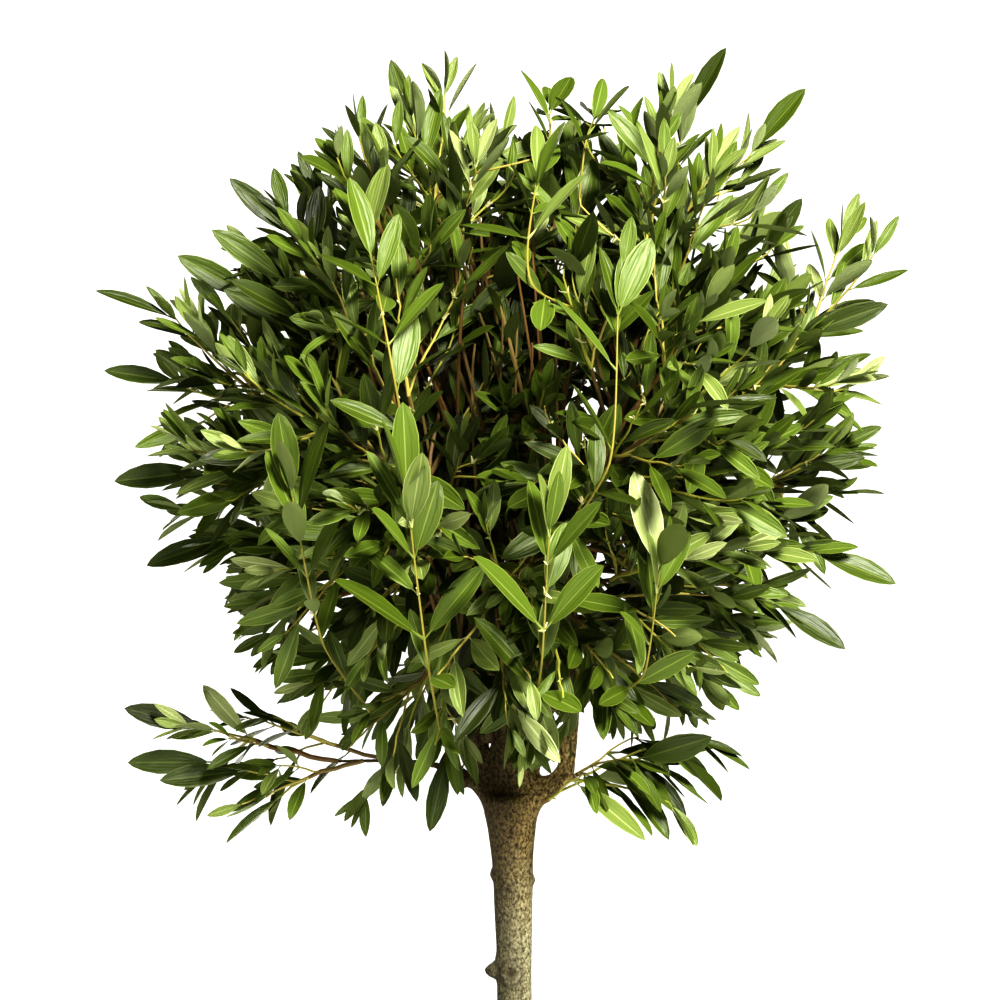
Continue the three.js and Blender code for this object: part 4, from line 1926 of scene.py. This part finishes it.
@dataclass
class LeafWork:
    """The leaves and buds, each mass's leaves joined into one piece."""

    allowance: float = 8 * MM       # how far a leaf may pass the frame's box
    crease: float = 62              # degrees; the blade's edge is sharp
    bud_crease: float = 80
    tuft: int = 3                   # buds in a tuft
    tuft_spread: float = 0.5        # how far they stray from its direction
    bud_smaller: float = 0.7        # against the tuft's size
    bud_larger: float = 1.1
    rise_by_length: float = 0.3     # how a blade's bend grows with its length
    rise_by_width: float = 0.5      # and with its width

    def fits(self, leaf: LeafPlace) -> bool:
        """Says whether a leaf's tip stays by the frame's box.

        Args:
            leaf: The leaf.

        Returns:
            Whether it does.
        """
        tip = leaf.foot + leaf.axis * leaf.length
        low = np.array(CAD_BOX[0]) - self.allowance
        high = np.array(CAD_BOX[1]) + self.allowance
        return bool((tip > low).all() and (tip < high).all())

    def build(self, masses: list[FoliageMass]) -> list[bpy.types.Object]:
        """Builds the leaves of each mass.

        Args:
            masses: The grown masses.

        Returns:
            One piece for each mass.
        """
        patterns = [shape.pattern() for shape in LEAF_SHAPES]
        materials = [m for tone in LEAF_TONES for m in tone.materials()]
        pieces = []
        for mass in masses:
            gathering = Gathering()
            for leaf in filter(self.fits, mass.leaves):
                pattern = patterns[leaf.shape]
                across = np.cross(leaf.axis, leaf.face)
                local = pattern.places
                placed = (
                    leaf.foot
                    + local[:, :1] * leaf.width * across
                    + local[:, 1:2] * leaf.length * leaf.axis
                    + self.raised(local, leaf)[:, None] * leaf.face
                )
                gathering.add(pattern, placed, pattern.finish + len(BladePart) * leaf.tone)
            piece = gathering.make(mass.name.replace(MASS_MARK, "leaves_"), materials, self.crease)
            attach(piece, BODY)
            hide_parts(mass.name)
            pieces.append(piece)
        return pieces

    def raised(self, local: np.ndarray, leaf: LeafPlace) -> np.ndarray:
        """Gives the heights of a leaf's vertices over its foot."""
        return local[:, 2] * (self.rise_by_width * leaf.width + self.rise_by_length * leaf.length)

    def build_buds(self, masses: list[FoliageMass], rng: np.random.Generator) -> bpy.types.Object:
        """Builds the tufts of small buds in the leaf axils.

        Args:
            masses: The grown masses.
            rng: The source of chance.

        Returns:
            The piece.
        """
        pattern = bud_pattern()
        gathering = Gathering()
        for mass in masses:
            for place, way, size in mass.buds:
                for _ in range(self.tuft):
                    axis = unit(way + rng.normal(0, self.tuft_spread, 3))
                    side = unit(np.cross(axis, rng.normal(size=3)))
                    other = np.cross(side, axis)
                    local = pattern.places * size * rng.uniform(self.bud_smaller, self.bud_larger)
                    placed = place + local[:, :1] * side + local[:, 1:2] * axis + local[:, 2:] * other
                    finish = np.full(len(pattern.sizes), int(rng.integers(len(BUD_TONES))))
                    gathering.add(pattern, placed, finish)
        piece = gathering.make("buds", [t.material() for t in BUD_TONES], self.bud_crease)
        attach(piece, BODY)
        return piece


@dataclass(frozen=True)
class Softbox:
    """A square soft light that looks at the crown."""

    name: str
    place: tuple[float, float, float]
    side: float
    power: float                    # watts
    colour: str


SOFTBOXES = (
    Softbox("key", (0.95, -2.0, 2.2), 0.7, 162, "#fffcf6"),
    Softbox("fill", (-1.6, -2.0, 0.7), 1.4, 21, "#fbf9f2"),
    Softbox("back", (-1.0, 2.3, 1.6), 1.5, 55, "#fffaf2"),
)


@dataclass
class Studio:
    """Camera, soft lights, backdrop light and floor."""

    distance: float = 2.2
    view_width: float = 0.72        # width of the view at the stem
    aim_x: float = -10.8 * MM
    aim_z: float = 792.4 * MM
    sensor: float = 36.0
    floor_radius: float = 1.7
    floor_gap: float = 0.3 * MM     # under the stem's foot
    ambient: float = 0.07           # the even light's strength on the tree against the backdrop's

    def camera(self) -> None:
        """Sets the level camera in front of the crown."""
        data = bpy.data.cameras.new("camera")
        data.sensor_width = self.sensor
        data.lens = self.sensor * self.distance / self.view_width
        camera = bpy.data.objects.new("camera", data)
        camera.location = (self.aim_x, -self.distance, self.aim_z)
        camera.rotation_euler = (math.pi / 2, 0, 0)
        bpy.context.scene.collection.objects.link(camera)
        bpy.context.scene.camera = camera

    def light(self, softbox: Softbox) -> None:
        """Sets up one light.

        Args:
            softbox: The light.
        """
        data = bpy.data.lights.new(softbox.name, "AREA")
        data.size = softbox.side
        data.energy = softbox.power
        data.color = linear(softbox.colour)[:3]
        lamp = bpy.data.objects.new(softbox.name, data)
        lamp.location = softbox.place
        goal = Vector((self.aim_x, 0, self.aim_z))
        lamp.rotation_euler = (goal - Vector(softbox.place)).to_track_quat("-Z", "Y").to_euler()
        bpy.context.scene.collection.objects.link(lamp)

    def world(self) -> None:
        """Sets the even light from all round."""
        world = bpy.data.worlds.new("studio")
        world.use_nodes = True
        tree = world.node_tree
        tree.nodes.clear()
        path = add_node(tree, "ShaderNodeLightPath")
        strength = add_node(
            tree,
            "ShaderNodeMapRange",
            {"To Min": self.ambient, "To Max": 1.0},
            {"Value": path.outputs["Is Camera Ray"]},
        )
        glow = add_node(
            tree,
            "ShaderNodeBackground",
            {"Color": linear("#ffffff")},
            {"Strength": strength.outputs["Result"]},
        )
        add_node(tree, "ShaderNodeOutputWorld", links={"Surface": glow.outputs["Background"]})
        bpy.context.scene.world = world

    def floor(self) -> None:
        """Lays the round floor board under the tree."""
        deselect()
        bpy.ops.mesh.primitive_circle_add(
            vertices=96,
            radius=self.floor_radius,
            fill_type="NGON",
            location=(0, 0, -self.floor_gap),
        )
        floor = bpy.context.active_object
        floor.name = "floor"
        bpy.ops.object.mode_set(mode="EDIT")
        bpy.ops.mesh.select_all(action="SELECT")
        bpy.ops.mesh.inset(thickness=20 * MM)
        bpy.ops.object.mode_set(mode="OBJECT")
        bpy.ops.object.transform_apply(location=True)
        floor.data.materials.append(FloorFinish().material())

    def build(self) -> None:
        """Sets everything up."""
        self.camera()
        for softbox in SOFTBOXES:
            self.light(softbox)
        self.world()
        self.floor()
        bpy.context.scene.view_settings.view_transform = "Standard"
        bpy.context.scene.view_settings.look = "High Contrast"


def head_outline() -> Outline:
    """Gives the outline of the round head, without the masses that hang apart from it."""
    heads = [node_places(n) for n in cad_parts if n.startswith(MASS_MARK) and n not in HANGING]
    return Outline(np.mean([h.mean(axis=0) for h in heads], axis=0), np.concatenate(heads))


def report(piece: bpy.types.Object) -> None:
    """Logs a piece's name and its number of triangles."""
    triangles = sum(face.loop_total - 2 for face in piece.data.polygons)
    log.info("%s: %d triangles", piece.name, triangles)


def main() -> None:
    """Builds the studio and the tree."""
    Studio().build()
    report(BarkSkin().build())
    rule = GrowthRule()
    outline = head_outline()
    boughs = {n: node_places(n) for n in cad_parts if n.startswith(BOUGH_MARK)}
    masses = []
    for number, name in enumerate(sorted(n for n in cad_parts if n.startswith(MASS_MARK))):
        mass = FoliageMass(name, rule, outline, boughs, np.random.default_rng(SEED + number))
        mass.grow()
        log.info("%s: %d twigs, %d leaves", name, len(mass.twigs), len(mass.leaves))
        masses.append(mass)
    for sprig in FRONT_SPRIGS:
        for mass in masses:
            mass.leaves = [leaf for leaf in mass.leaves if not sprig.hidden_by(leaf, outline.middle)]
    for sprig in FRONT_SPRIGS:
        foot = sprig.line(outline.middle)[0]
        heads = [mass for mass in masses if not mass.hangs]
        min(heads, key=lambda mass: np.linalg.norm(mass.middle - foot)).raise_sprig(sprig)
    wood = np.concatenate(list(boughs.values()))
    canes = Canes().grow(outline.middle, wood, np.random.default_rng(SEED), rule.pitch)
    log.info("canes: %d", len(canes))
    masses[0].twigs += canes
    for piece in TwigWork().build(masses, rule):
        report(piece)
    work = LeafWork()
    for piece in work.build(masses):
        report(piece)
    report(work.build_buds(masses, np.random.default_rng(SEED)))


if __name__ == "__main__":
    main()
